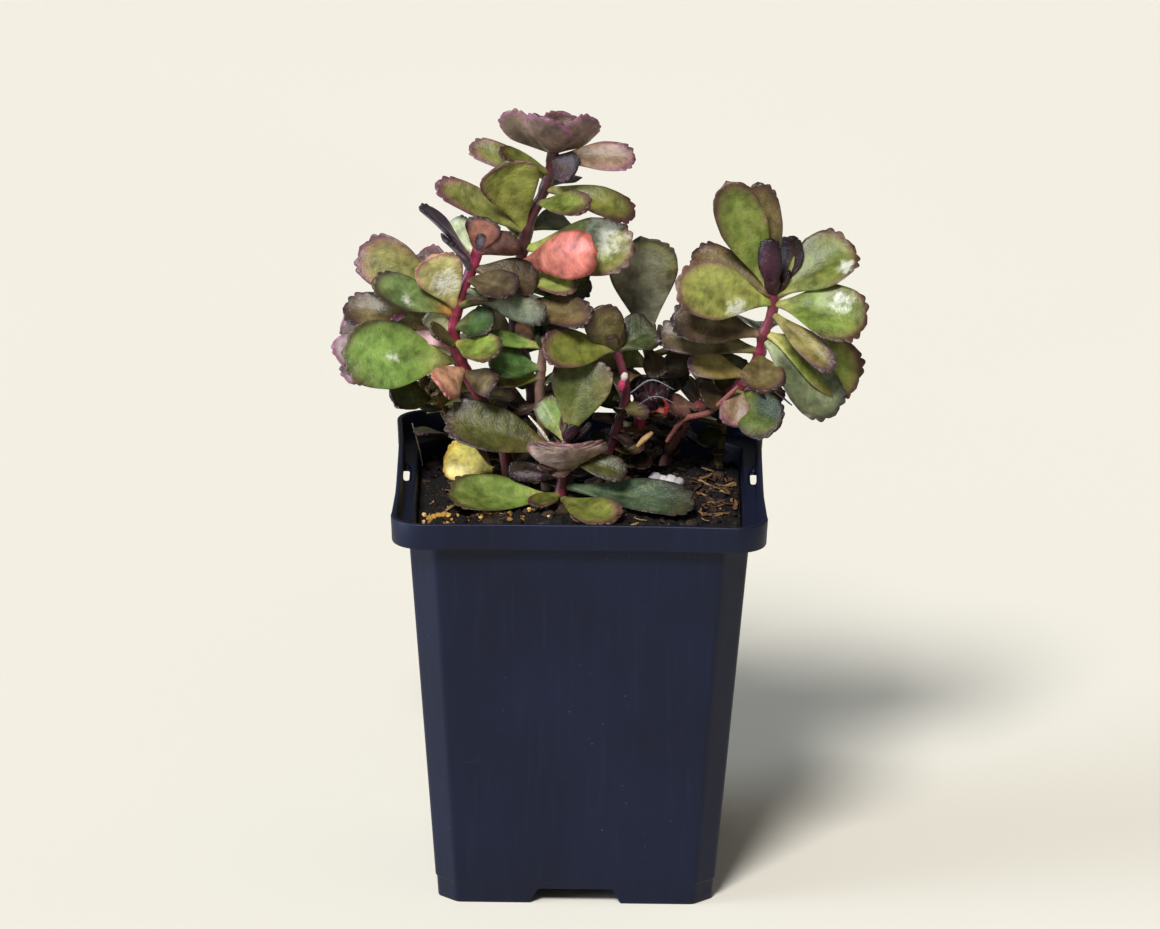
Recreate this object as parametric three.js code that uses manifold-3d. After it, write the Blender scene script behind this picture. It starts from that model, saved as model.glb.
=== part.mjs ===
// A square nursery pot of two-row stonecrop. Millimetres, +Z up, the front along -Y.
// The origin is on the ground under the middle of the pot, on the flat of its centre pad.
import * as THREE from 'three';
import { mergeVertices } from 'three/addons/utils/BufferGeometryUtils.js';
import Module from 'manifold-3d';

const wasm = await Module();
wasm.setup();

// Pot
const RIM_WIDTH = 90;
const POT_HEIGHT = 100;
const RIM_BAND = 6.5;
const WALL = 1.2;
const RIM_CORNER = 8;
const RIM_BOW = 0.8;
const RIM_DRAFT = 0.3;
const BODY_TOP_WIDTH = 81.4;
const BODY_BASE_WIDTH = 66.8;
const CORNER_CUT_TOP = 6.2;
const CORNER_CUT_BASE = 4.8;
const FOOT_HEIGHT = 5.2;
const FOOT_INSET = 0.3;
const FLOOR_UNDERSIDE = 3.9;
const FLOOR_TOP = 5.1;
const NOTCH_BASE_WIDTH = 22;
const NOTCH_TOP_WIDTH = 19;
const NOTCH_HEIGHT = 3.7;
const NOTCH_ROUNDING = 0.8;
const NOTCH_DEPTH = 8;
const PAD_RADIUS = 8;
const PAD_FLARE = 1;
const PAD_SIDES = 16;
const DRAIN_RADIUS = 3;
const DRAIN_CIRCLE = 19;
const DRAIN_COUNT = 8;
const HOLE_SIDES = 8;
const SLOT_WIDTH = 1.8;
const SLOT_LENGTH = 11;
const SLOT_BEHIND_MIDDLE = 10;
const CUT_PAST = 1;

// Soil
const GAP = 0.3;
const SOIL_EDGE = 89.4;
const SOIL_MOUND = 2.4;
const SOIL_RINGS = 7;
const SOIL_CLEARANCE = 0.4;
const SOIL_REACH = 39;
const COARSE_HEIGHT = 0.55;
const COARSE_WAVE = 0.57;
const FINE_HEIGHT = 0.33;
const FINE_WAVE = 1.2;

// Stems and leaves
const STEM_SIDES = 6;
const STEM_FOOT_DEPTH = 11;
const STEM_UPRIGHT = 2;
const HOLE_CLEARANCE = 0.5;
const LEAF_THICKNESS = 1.7;
const LEAF_THINNING = 0.35;
const LEAF_ROOT_HALF_WIDTH = 0.8;
const LEAF_WAIST_AT = 0.36;
const LEAF_WIDEST_AT = 0.62;
const TOOTH_PEAK = 1.03;
const TOOTH_NOTCH = 0.92;
const TOOTH_STEPS = 5;
const RIB_SHARE = 0.94;
const LEAF_CUP = 0.3;
const LEAF_ARCH = 0.04;

// Where the upper side of a leaf looks
const UP = [0, 0, 1];
const UP_FORWARD = [0, -0.5, 1];
const FORWARD_UP = [0, -1, 1];
const FORWARD = [0, -1, 0.3];
const MOSTLY_FORWARD = [0, -1, 0.6];
const FORWARD_LEFT = [-0.6, -1, 0.3];
const BACKWARD = [0, 1, 0.4];
const AWAY = [0, 1, -0.3];
const AWAY_RIGHT = [0.5, 1, 0.3];
const AWAY_LEFT = [-0.4, 1, 0.3];
const RIGHT_FORWARD = [1, -1, 0.2];
const INWARD = null;

const plastic = (color, roughness) => new THREE.MeshStandardMaterial({ color, roughness, metalness: 0 });

// Booleans: a closed geometry with shared vertices becomes a solid, and back
function solidOf(geometry) {
  const bare = geometry.clone();
  bare.deleteAttribute('normal');
  bare.deleteAttribute('uv');
  const merged = mergeVertices(bare, 1e-4);
  const vertProperties = new Float32Array(merged.attributes.position.array);
  const triVerts = new Uint32Array(merged.index.array);
  return new wasm.Manifold(new wasm.Mesh({ numProp: 3, vertProperties, triVerts }));
}

function geometryOf(solid) {
  const { vertProperties, triVerts } = solid.getMesh();
  const geometry = new THREE.BufferGeometry();
  geometry.setAttribute('position', new THREE.BufferAttribute(vertProperties, 3));
  geometry.setIndex(new THREE.BufferAttribute(triVerts, 1));
  return geometry;
}

function joined(solids) {
  return solids.reduce((whole, solid) => whole.add(solid));
}

function meshOf(name, solid, material) {
  const mesh = new THREE.Mesh(geometryOf(solid), material);
  mesh.geometry.computeVertexNormals();
  mesh.name = name;
  return mesh;
}

// The same random numbers on every run
function seeded(seed) {
  let state = seed;
  return () => {
    state = (state * 1664525 + 1013904223) % 4294967296;
    return state / 4294967296;
  };
}

// One level of a square section: four corners of four points each and two points along each side.
// A corner is a straight cut where round is 0 and a quarter circle where it is 1.
const SIDE_SHARES = [-0.4, 0.4];
const CORNER_SHARES = [0, 1 / 3, 2 / 3, 1];

function squareRing(width, corner, round, bow, z) {
  const half = width / 2;
  const points = [];
  for (let side = 0; side < 4; side += 1) {
    const turn = side * Math.PI / 2;
    const along = SIDE_SHARES.map((share) => [half - bow, share * half]);
    const cut = CORNER_SHARES.map((share) => {
      const angle = share * Math.PI / 2;
      const straight = [half - corner * share, half - corner * (1 - share)];
      const arc = [half - corner * (1 - Math.cos(angle)), half - corner * (1 - Math.sin(angle))];
      return [0, 1].map((axis) => straight[axis] * (1 - round) + arc[axis] * round);
    });
    for (const [x, y] of [...along, ...cut]) {
      const place = new THREE.Vector3(x, y, z);
      points.push(place.applyAxisAngle(new THREE.Vector3(0, 0, 1), turn));
    }
  }
  return points;
}

// Rings joined one to the next, with the first and the last closed by a fan from their middle
function loft(rings) {
  const count = rings[0].length;
  const middle = (ring) => {
    const sum = ring.reduce((total, point) => total.add(point), new THREE.Vector3());
    return sum.divideScalar(count);
  };
  const points = [...rings.flat(), middle(rings[0]), middle(rings[rings.length - 1])];
  const first = points.length - 2;
  const faces = [];
  for (let row = 0; row + 1 < rings.length; row += 1) {
    for (let column = 0; column < count; column += 1) {
      const next = (column + 1) % count;
      const a = row * count + column;
      const b = row * count + next;
      faces.push(a, b, b + count, a, b + count, a + count);
    }
  }
  const last = (rings.length - 1) * count;
  for (let column = 0; column < count; column += 1) {
    const next = (column + 1) % count;
    faces.push(first, next, column);
    faces.push(first + 1, last + column, last + next);
  }
  const geometry = new THREE.BufferGeometry().setFromPoints(points);
  geometry.setIndex(faces);
  return solidOf(geometry);
}

// Pot: outside from the floor's underside round the foot, up the wall and over the rim, then down inside
const LEDGE_UNDERSIDE = POT_HEIGHT - RIM_BAND;
const LEDGE_TOP = LEDGE_UNDERSIDE + WALL;
const CUT_LOST_PER_INSET = 2 - Math.SQRT2;

function bodyWidth(z) {
  return BODY_BASE_WIDTH + (BODY_TOP_WIDTH - BODY_BASE_WIDTH) * z / LEDGE_UNDERSIDE;
}

function cornerCut(z) {
  return CORNER_CUT_BASE + (CORNER_CUT_TOP - CORNER_CUT_BASE) * z / LEDGE_UNDERSIDE;
}

function bodyRing(z, inset) {
  return squareRing(bodyWidth(z) - 2 * inset, cornerCut(z) - CUT_LOST_PER_INSET * inset, 0, 0, z);
}

function rimRing(z, inset) {
  return squareRing(RIM_WIDTH - 2 * inset, RIM_CORNER - inset, 1, RIM_BOW, z);
}

function potShell() {
  return loft([
    bodyRing(FLOOR_UNDERSIDE, WALL + FOOT_INSET),
    bodyRing(0, WALL + FOOT_INSET),
    bodyRing(0, FOOT_INSET),
    bodyRing(FOOT_HEIGHT, FOOT_INSET),
    bodyRing(FOOT_HEIGHT + FOOT_INSET, 0),
    bodyRing(LEDGE_UNDERSIDE, 0),
    rimRing(LEDGE_UNDERSIDE, RIM_DRAFT),
    rimRing(POT_HEIGHT, 0),
    rimRing(POT_HEIGHT, WALL),
    rimRing(LEDGE_TOP, WALL + RIM_DRAFT),
    bodyRing(LEDGE_TOP, WALL),
    bodyRing(FLOOR_TOP, WALL),
  ]);
}

function footNotch(quarter) {
  const base = NOTCH_BASE_WIDTH / 2;
  const top = NOTCH_TOP_WIDTH / 2;
  const outline = new THREE.Shape([
    new THREE.Vector2(-base, -CUT_PAST),
    new THREE.Vector2(base, -CUT_PAST),
    new THREE.Vector2(base, 0),
    new THREE.Vector2(top, NOTCH_HEIGHT - NOTCH_ROUNDING),
    new THREE.Vector2(top - NOTCH_ROUNDING, NOTCH_HEIGHT),
    new THREE.Vector2(-top + NOTCH_ROUNDING, NOTCH_HEIGHT),
    new THREE.Vector2(-top, NOTCH_HEIGHT - NOTCH_ROUNDING),
    new THREE.Vector2(-base, 0),
  ]);
  const block = new THREE.ExtrudeGeometry(outline, { depth: NOTCH_DEPTH, bevelEnabled: false });
  block.rotateX(Math.PI / 2);
  block.translate(0, (BODY_BASE_WIDTH + NOTCH_DEPTH) / 2, 0);
  block.rotateZ(quarter * Math.PI / 2);
  return solidOf(block);
}

function upright(radiusTop, radiusBottom, from, to, sides, x, y) {
  const post = new THREE.CylinderGeometry(radiusTop, radiusBottom, to - from, sides);
  post.rotateX(Math.PI / 2);
  post.translate(x, y, (from + to) / 2);
  return solidOf(post);
}

function drainHole(index) {
  const angle = (index + 0.5) * 2 * Math.PI / DRAIN_COUNT;
  const x = DRAIN_CIRCLE * Math.cos(angle);
  const y = DRAIN_CIRCLE * Math.sin(angle);
  const bottom = FLOOR_UNDERSIDE - CUT_PAST;
  return upright(DRAIN_RADIUS, DRAIN_RADIUS, bottom, FLOOR_TOP + CUT_PAST, HOLE_SIDES, x, y);
}

function ledgeSlot(side) {
  const slot = new THREE.BoxGeometry(SLOT_WIDTH, SLOT_LENGTH, 3 * WALL);
  const x = side * (BODY_TOP_WIDTH / 2 + RIM_WIDTH / 2 - WALL) / 2;
  slot.translate(x, SLOT_BEHIND_MIDDLE, LEDGE_UNDERSIDE + WALL / 2);
  return solidOf(slot);
}

function potSolid() {
  const cuts = [
    ...[0, 1, 2, 3].map(footNotch),
    ...Array.from({ length: DRAIN_COUNT }, (_, index) => drainHole(index)),
    ledgeSlot(-1),
    ledgeSlot(1),
  ];
  const pad = upright(PAD_RADIUS + PAD_FLARE, PAD_RADIUS, 0, FLOOR_UNDERSIDE + WALL / 2, PAD_SIDES, 0, 0);
  return potShell().add(pad).subtract(joined(cuts));
}

// Soil: the height of its rough, slightly mounded top over any place
function soilHeight(x, y) {
  const reach = Math.min(1, Math.max(Math.abs(x), Math.abs(y)) / SOIL_REACH);
  const mound = SOIL_MOUND * (1 - reach * reach);
  const coarse = COARSE_HEIGHT * Math.cos(COARSE_WAVE * x) * Math.cos(COARSE_WAVE * y);
  const fine = FINE_HEIGHT * Math.sin(FINE_WAVE * (x - y)) * Math.cos(FINE_WAVE * (x + y));
  return SOIL_EDGE + mound + coarse + fine;
}

function soilBlock(raised) {
  const inset = WALL + SOIL_CLEARANCE;
  const level = bodyRing(SOIL_EDGE, inset);
  const rings = [bodyRing(FLOOR_TOP + GAP, inset)];
  for (let ring = SOIL_RINGS; ring > 0; ring -= 1) {
    const share = ring / SOIL_RINGS;
    rings.push(level.map(({ x, y }) => {
      const height = soilHeight(x * share, y * share) + raised;
      return new THREE.Vector3(x * share, y * share, height);
    }));
  }
  return loft(rings);
}

function soilSolid(feet) {
  const holes = feet.map(({ x, y, radius }) => {
    const wide = radius + HOLE_CLEARANCE;
    const bottom = SOIL_EDGE - STEM_FOOT_DEPTH - GAP;
    return upright(wide, wide, bottom, SOIL_EDGE + 3 * SOIL_MOUND, HOLE_SIDES, x, y);
  });
  return soilBlock(0).subtract(joined(holes));
}

// Stem: a tube along a smooth curve, which stands upright where it enters the soil
function stemCurve(foot, points) {
  const [x, y] = foot;
  const rises = [-STEM_FOOT_DEPTH, -STEM_FOOT_DEPTH / 2, STEM_UPRIGHT];
  const buried = rises.map((rise) => [x, y, SOIL_EDGE + rise]);
  return curveThrough([...buried, ...points]);
}

function curveThrough(points) {
  return new THREE.CatmullRomCurve3(points.map((point) => new THREE.Vector3(...point)));
}

function tube(curve, radius, steps) {
  const corners = Array.from({ length: STEM_SIDES }, (_, index) => {
    const angle = index * 2 * Math.PI / STEM_SIDES;
    return new THREE.Vector2(radius * Math.cos(angle), radius * Math.sin(angle));
  });
  const section = new THREE.Shape(corners);
  return solidOf(new THREE.ExtrudeGeometry(section, { steps, bevelEnabled: false, extrudePath: curve }));
}

// Leaf rim, as shares of the length and of the half width: a narrow wedge, then a toothed round end
function leafRows() {
  const rows = [];
  for (const along of [0, LEAF_WAIST_AT]) {
    const share = along / LEAF_WIDEST_AT;
    rows.push({ along, half: share * share * (3 - 2 * share), rib: along });
  }
  for (let step = 0; step < TOOTH_STEPS; step += 1) {
    const angle = step * Math.PI / 2 / TOOTH_STEPS;
    const tooth = step % 2 === 0 ? TOOTH_PEAK : TOOTH_NOTCH;
    const reach = (1 - LEAF_WIDEST_AT) * Math.sin(angle);
    rows.push({
      along: LEAF_WIDEST_AT + reach * tooth,
      half: Math.cos(angle) * tooth,
      rib: LEAF_WIDEST_AT + reach * RIB_SHARE,
    });
  }
  return rows;
}

// Leaf: a blade with a lens section on an arched rib, its rims raised above the rib.
// facing is where the upper side looks, or null where it looks along the stem.
function leafSolid(root, { tip, width, facing, arch }, stemDirection) {
  const end = new THREE.Vector3(...tip);
  const chord = end.clone().sub(root);
    const ahead = chord.clone().normalize();
  const hint = facing ? new THREE.Vector3(...facing) : stemDirection.clone();
  const face = hint.addScaledVector(ahead, -hint.dot(ahead)).normalize();
  const crest = root.clone().add(end).multiplyScalar(0.5).addScaledVector(face, 2 * arch * chord.length());
  const rib = new THREE.QuadraticBezierCurve3(root, crest, end);
  const side = ahead.clone().cross(face);
  const points = [];
  for (const { along, half, rib: ribShare } of leafRows()) {
    const tangent = rib.getTangent(ribShare);
    const normal = side.clone().cross(tangent).normalize();
    const halfWidth = LEAF_ROOT_HALF_WIDTH + (width / 2 - LEAF_ROOT_HALF_WIDTH) * half;
    const lift = LEAF_CUP * (halfWidth - LEAF_ROOT_HALF_WIDTH);
    const thick = LEAF_THICKNESS * (1 - LEAF_THINNING * ribShare) / 2;
    const onRib = rib.getPoint(ribShare);
    const onRim = rib.getPoint(Math.min(1, along)).addScaledVector(normal, lift);
    points.push(onRim.clone().addScaledVector(side, -halfWidth));
    points.push(onRib.clone().addScaledVector(normal, thick));
    points.push(onRim.clone().addScaledVector(side, halfWidth));
    points.push(onRib.clone().addScaledVector(normal, -thick));
  }
  points.push(end);
  const rows = (points.length - 1) / 4;
  const faces = [0, 2, 1, 0, 3, 2];
  for (let row = 0; row + 1 < rows; row += 1) {
    for (let corner = 0; corner < 4; corner += 1) {
      const a = row * 4 + corner;
      const b = row * 4 + (corner + 1) % 4;
      if (corner % 2 === 0) {
        faces.push(a, b, a + 4, b, b + 4, a + 4);
      } else {
        faces.push(a, b, b + 4, a, b + 4, a + 4);
      }
    }
  }
  const lastRow = (rows - 1) * 4;
  for (let corner = 0; corner < 4; corner += 1) {
    faces.push(lastRow + corner, lastRow + (corner + 1) % 4, points.length - 1);
  }
  const geometry = new THREE.BufferGeometry().setFromPoints(points);
  geometry.setIndex(faces);
  return solidOf(geometry);
}

const leaf = (share, tip, width, facing, arch = LEAF_ARCH) => ({ share, tip, width, facing, arch });

// A shoot: its foot in the soil, the stem above it, and its leaves with the share of the stem they grow at
const SHOOTS = {
  tall_shoot: {
    color: '#6f7a35',
    radius: 1.5,
    foot: [-9, 15],
    stem: [
      [-12, 14, 116], [-16, 13, 131], [-16, 12, 139], [-15, 12, 148],
      [-13, 11, 158], [-9, 10, 168], [-7, 9, 178],
    ],
    leaves: [
      leaf(0.99, [-19, 6, 187], 9, AWAY_RIGHT, -0.1),
      leaf(0.99, [-9, -1, 188], 13, INWARD, -0.14),
      leaf(0.99, [-5, 15, 185], 10, INWARD, -0.14),
      leaf(0.99, [3, 8, 185], 9, AWAY_LEFT, -0.1),
      leaf(0.97, [12, 6, 176], 8, FORWARD_UP),
      leaf(0.92, [-27, 12, 177], 7, FORWARD_UP),
      leaf(0.93, [-20, 4, 177.5], 7, UP_FORWARD),
      leaf(0.76, [-20, 2, 176], 13, FORWARD, -0.05),
      leaf(0.77, [-35, 10, 168], 8, FORWARD_UP),
      leaf(0.89, [12, 6, 162], 8, FORWARD_UP, 0.1),
      leaf(0.85, [1, -6, 167], 8, FORWARD_UP),
      leaf(0.9, [-3, 22, 167], 8, INWARD),
      leaf(0.78, [-4, 24, 155], 7, FORWARD_UP),
      leaf(0.74, [-20, 24, 159], 9, INWARD),
      leaf(0.73, [13, 4, 155], 14, MOSTLY_FORWARD),
      leaf(0.69, [3, -7, 155], 12, AWAY, -0.06),
      leaf(0.66, [-2, 2, 144], 8, UP_FORWARD),
      leaf(0.63, [2, 12, 142], 10, FORWARD_UP),
      leaf(0.59, [2, -2, 138], 9, FORWARD_UP),
      leaf(0.57, [-10, 34, 132], 10, INWARD),
      leaf(0.52, [-5, 6, 135], 6, AWAY),
      leaf(0.44, [-20, 34, 119], 10, INWARD),
    ],
  },
  left_shoot: {
    color: '#737a33',
    radius: 1.5,
    foot: [-17, 10],
    stem: [
      [-20, 9, 108], [-24, 7, 115], [-29, 6, 124], [-31, 5, 133],
      [-30, 5, 139], [-28, 5, 145], [-26, 5, 150], [-25, 5, 154],
    ],
    leaves: [
      leaf(0.98, [-24, 4, 161], 7, RIGHT_FORWARD),
      leaf(0.98, [-16, 1, 156], 9, BACKWARD),
      leaf(0.97, [-31, 11, 159], 6, FORWARD),
      leaf(0.94, [-39, 3, 164], 9, INWARD),
      leaf(0.92, [-33, -3, 158], 7, INWARD),
      leaf(0.79, [-35, 0, 152], 12, FORWARD),
      leaf(0.81, [-38, 12, 151], 8, FORWARD),
      leaf(0.79, [-53, 9, 152], 13, FORWARD),
      leaf(0.77, [-50, -3, 147], 9, FORWARD_UP),
      leaf(0.73, [-57, 8, 137], 10, FORWARD_UP),
      leaf(0.72, [-37, 2, 138], 6, AWAY),
      leaf(0.93, [-11, 4, 145], 10, FORWARD_UP),
      leaf(0.89, [-16, -5, 146], 9, FORWARD_UP),
      leaf(0.86, [-9, -3, 139], 7, AWAY),
      leaf(0.8, [-21, -2, 143], 6, UP),
      leaf(0.73, [-21, 0, 137], 8, FORWARD_UP),
      leaf(0.68, [-20, -8, 131], 9, FORWARD_UP),
      leaf(0.67, [-36, -4, 135], 7, FORWARD_UP),
      leaf(0.62, [-57, -2, 129], 17, FORWARD),
      leaf(0.59, [-34, -8, 123], 9, AWAY, -0.04),
      leaf(0.58, [-21, -9, 123], 7, AWAY, -0.04),
      leaf(0.79, [-25, 27, 134], 10, INWARD),
      leaf(0.63, [-32, 28, 123], 11, INWARD),
    ],
    branch: {
      radius: 1.2,
      from: 0.64,
      stem: [[-33, 7, 132], [-38, 9, 133], [-44, 9, 132], [-51, 8, 131]],
      leaves: [
        leaf(0.97, [-58, 6, 124], 10, BACKWARD),
        leaf(0.97, [-58, 8, 133], 9, BACKWARD),
        leaf(0.82, [-56, 10, 118], 9, BACKWARD),
        leaf(0.69, [-48, 20, 136], 10, INWARD),
      ],
    },
  },
  low_left_shoot: {
    color: '#4c5423',
    radius: 1.2,
    foot: [-23, 29],
    stem: [[-28, 26, 101], [-33, 18, 109], [-35, 12, 115]],
    leaves: [
      leaf(0.96, [-46, 8, 115], 10, FORWARD_UP),
      leaf(0.9, [-45, 13, 111], 8, UP),
      leaf(0.86, [-33, 8, 120], 8, FORWARD),
      leaf(0.86, [-26, 12, 117], 8, FORWARD),
      leaf(0.79, [-34, 30, 106], 9, INWARD),
    ],
  },
  middle_shoot: {
    color: '#5d6e2b',
    radius: 1.4,
    foot: [-8, 8],
    stem: [[-9, 8, 106], [-10, 6, 118], [-9, 3, 130]],
    leaves: [
      leaf(0.99, [-25, 3, 131], 6, UP_FORWARD),
      leaf(0.87, [-22, 0, 126], 9, FORWARD_UP),
      leaf(0.82, [-21, 2, 121], 6, FORWARD_UP),
    ],
  },
  front_shoot: {
    color: '#5f7a31',
    radius: 1.3,
    foot: [-5, -3],
    stem: [[-4, -3, 99], [-4, -4, 106], [-3, -4, 109]],
    leaves: [
      leaf(0.48, [-31, -8, 95], 13, UP_FORWARD, 0),
      leaf(0.58, [27, -6, 95], 11, UP_FORWARD, 0),
      leaf(0.48, [9, -22, 93.5], 11, UP_FORWARD, 0),
      leaf(0.5, [-11, -12, 94], 6, UP_FORWARD),
      leaf(0.69, [-2, -14, 112], 19, INWARD, -0.12),
      leaf(0.84, [-32, -2, 113], 13, FORWARD_UP),
      leaf(0.97, [2, 2, 127], 15, FORWARD),
      leaf(0.96, [-9, 1, 117], 7, FORWARD),
      leaf(0.84, [10, -8, 102], 9, FORWARD_UP),
    ],
  },
  red_middle_shoot: {
    color: '#625e22',
    radius: 1.2,
    foot: [5, 12],
    stem: [[9, 10, 108], [11, 8, 116], [10, 7, 123], [8, 6, 129]],
    leaves: [
      leaf(0.98, [-9, -4, 130], 11, FORWARD_UP),
      leaf(0.97, [4, 2, 140], 10, FORWARD),
      leaf(0.97, [17, 10, 133], 11, FORWARD_UP),
      leaf(0.96, [9, 26, 124], 10, INWARD),
    ],
  },
  bud_shoot: {
    color: '#4a2327',
    radius: 1.1,
    foot: [15, 26],
    stem: [[15, 19, 101], [14, 15, 108], [17, 13, 114]],
    leaves: [
      leaf(0.96, [13, 11, 116], 6, INWARD, -0.2),
      leaf(0.97, [15, 14, 119], 6, INWARD, -0.2),
      leaf(0.98, [18, 15, 119], 6, INWARD, -0.2),
      leaf(0.98, [21, 13, 117], 6, INWARD, -0.2),
      leaf(0.96, [17, 6, 116], 6, INWARD, -0.2),
      leaf(0.86, [8, 15, 113], 5, UP),
      leaf(0.88, [21, 14, 110], 5, UP),
    ],
  },
  centre_back_shoot: {
    color: '#6b7342',
    radius: 1.4,
    foot: [10, 34],
    stem: [[14, 28, 107], [17, 23, 117], [16, 20, 125]],
    leaves: [
      leaf(0.98, [14, 16, 153], 17, FORWARD, -0.05),
      leaf(0.93, [34, 16, 127], 9, UP),
      leaf(0.98, [19, 13, 119], 6, FORWARD),
      leaf(0.98, [13, 40, 121], 11, INWARD),
      leaf(0.87, [5, 27, 121], 9, FORWARD_UP),
    ],
  },
  right_shoot: {
    color: '#6a6c34',
    radius: 1.5,
    foot: [21, 32],
    stem: [[27, 22, 107], [37, 14, 115], [43, 7, 127], [44, 5, 133], [46, 4, 139], [46, 4, 144]],
    leaves: [
      leaf(0.98, [30, 0, 172], 10.5, FORWARD, -0.05),
      leaf(0.99, [39, 6, 170], 10, FORWARD_LEFT, -0.05),
      leaf(0.99, [45, 0, 158], 6, INWARD, -0.14),
      leaf(0.99, [51, 9, 156], 9, INWARD, -0.14),
      leaf(0.98, [66, 8, 154], 12, FORWARD_UP),
      leaf(0.96, [68, -2, 138], 13, FORWARD_UP, 0.08),
      leaf(0.93, [61, -8, 133], 7, FORWARD_UP),
      leaf(0.86, [67, 6, 122], 10, FORWARD_UP, 0.08),
      leaf(0.84, [62, -5, 115.5], 10, FORWARD_UP),
      leaf(0.96, [23, -6, 148], 12, FORWARD),
      leaf(0.98, [27, 8, 152], 10, FORWARD_UP),
      leaf(0.85, [22, 2, 137], 9, FORWARD_UP),
      leaf(0.79, [20, 9, 128], 7, FORWARD_UP),
      leaf(0.68, [26, 9, 124], 8, FORWARD_UP),
      leaf(0.78, [43, -6, 121], 12, FORWARD),
      leaf(0.63, [36, 7, 110], 8, FORWARD),
      leaf(0.63, [46, 2, 111], 10, FORWARD),
      leaf(0.65, [49, 7, 116], 5, FORWARD_UP),
      leaf(0.44, [24, 26, 115], 7, INWARD),
      leaf(0.47, [29, 20, 117], 7, INWARD),
      leaf(0.97, [51, 27, 137], 12, INWARD),
      leaf(0.85, [42, 29, 128], 11, INWARD),
    ],
  },
};

// Low shoots at the back: pairs of leaves up a short stem, each pair turned a quarter from the one below.
// The lengths come from a seeded draw.
const LOW_PAIRS = [{ share: 0.82, below: 4, rise: 0.25 }, { share: 0.97, below: 0, rise: 0.65 }];
const LEAF_REACH = { least: 0.85, spread: 0.3 };
const LOW_SHOOTS = {
  back_left_shoot: { foot: [-30, 30], top: [-31, 31, 101], reach: 11, width: 8, turn: 0.5, seed: 11 },
  back_right_shoot: { foot: [34, 32], top: [35, 32, 106], reach: 11, width: 9, turn: 0.6, seed: 23 },
};

function lowShoot({ foot, top, reach, width, turn, seed }) {
  const draw = seeded(seed);
  const [x, y, z] = top;
  const leaves = LOW_PAIRS.flatMap(({ share, below, rise }, pair) => [0, Math.PI].map((opposite) => {
    const angle = turn + pair * Math.PI / 2 + opposite;
    const length = reach * (LEAF_REACH.least + LEAF_REACH.spread * draw());
    const tip = [x + length * Math.cos(angle), y + length * Math.sin(angle), z - below + length * rise];
    return leaf(share, tip, width, INWARD);
  }));
  return { color: '#5c6a2e', radius: 1.2, foot, stem: [top], leaves };
}

// Loose pieces lie on the soil: what would sink into it is cut away a gap above it
function lyingOnSoil(solid) {
  return solid.subtract(soilBlock(GAP));
}

const FALLEN_LEAF = {
  stalk: [-21, 18, 93],
  blade: leaf(0, [-33, 21, 95], 10.5, FORWARD, -0.05),
};

function fallenLeafSolid({ stalk, blade }) {
  return lyingOnSoil(leafSolid(new THREE.Vector3(...stalk), blade, new THREE.Vector3(...UP)));
}

// Crumbs and grains: rough lumps in a row, each sunk into the next, with uneven sizes from a seeded draw
const LUMP_SIZE = { least: 0.85, spread: 0.35 };
const LUMP_HEIGHT = 0.8;
const WHITE = '#d9d6d2';
const GOLDEN = '#bd9654';
const CRUMBS = {
  perlite_crumbs: { color: WHITE, from: [18, 16], to: [24.5, 15], count: 4, radius: 1.9, seed: 7 },
  golden_grains_left: { color: GOLDEN, from: [-36, -11], to: [-32, -10], count: 5, radius: 0.95, seed: 3 },
  golden_grains_front: { color: GOLDEN, from: [-24, -11], to: [-17, -10], count: 8, radius: 0.95, seed: 5 },
};

function crumbSolid({ from, to, count, radius, seed }) {
  const draw = seeded(seed);
  const lumps = Array.from({ length: count }, (_, index) => {
    const share = index / (count - 1);
    const x = from[0] + (to[0] - from[0]) * share;
    const y = from[1] + (to[1] - from[1]) * share + (draw() - 0.5) * radius;
    const size = radius * (LUMP_SIZE.least + LUMP_SIZE.spread * draw());
    const lump = new THREE.IcosahedronGeometry(size, 0);
    lump.scale(1, 1, LUMP_HEIGHT);
    lump.rotateZ(draw() * Math.PI);
    lump.translate(x, y, soilHeight(x, y) + radius / 2);
    return solidOf(lump);
  });
  return lyingOnSoil(joined(lumps));
}

function leavesOn(curve, leaves) {
  return leaves.map((entry) => {
    const root = curve.getPointAt(entry.share);
    return leafSolid(root, entry, curve.getTangentAt(entry.share));
  });
}

function shootSolid({ radius, foot, stem, leaves, branch }) {
  const curve = stemCurve(foot, stem);
  const solids = [tube(curve, radius, 2 * (stem.length + 2)), ...leavesOn(curve, leaves)];
  if (branch) {
    const start = curve.getPointAt(branch.from).toArray();
    const side = curveThrough([start, ...branch.stem]);
    solids.push(tube(side, branch.radius, 8), ...leavesOn(side, branch.leaves));
  }
  return joined(solids);
}

const model = new THREE.Group();
model.add(meshOf('pot', potSolid(), plastic('#20222c', 0.42)));

const lowShoots = Object.entries(LOW_SHOOTS).map(([name, entry]) => [name, lowShoot(entry)]);
const shoots = [...Object.entries(SHOOTS), ...lowShoots];
const feet = shoots.map(([, { foot: [x, y], radius }]) => ({ x, y, radius }));
model.add(meshOf('potting_soil', soilSolid(feet), plastic('#1d1512', 0.95)));

for (const [name, shoot] of shoots) {
  model.add(meshOf(name, shootSolid(shoot), plastic(shoot.color, 0.38)));
}

model.add(meshOf('yellow_fallen_leaf', fallenLeafSolid(FALLEN_LEAF), plastic('#d9b84a', 0.55)));
for (const [name, crumbs] of Object.entries(CRUMBS)) {
  model.add(meshOf(name, crumbSolid(crumbs), plastic(crumbs.color, 0.85)));
}

export default model;
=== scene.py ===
"""A potted two-row stonecrop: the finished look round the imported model, in metres, +Z up, front along -Y."""
import logging  # noqa: E402
import math  # noqa: E402
from dataclasses import dataclass, field  # noqa: E402
from enum import Enum  # noqa: E402

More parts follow.
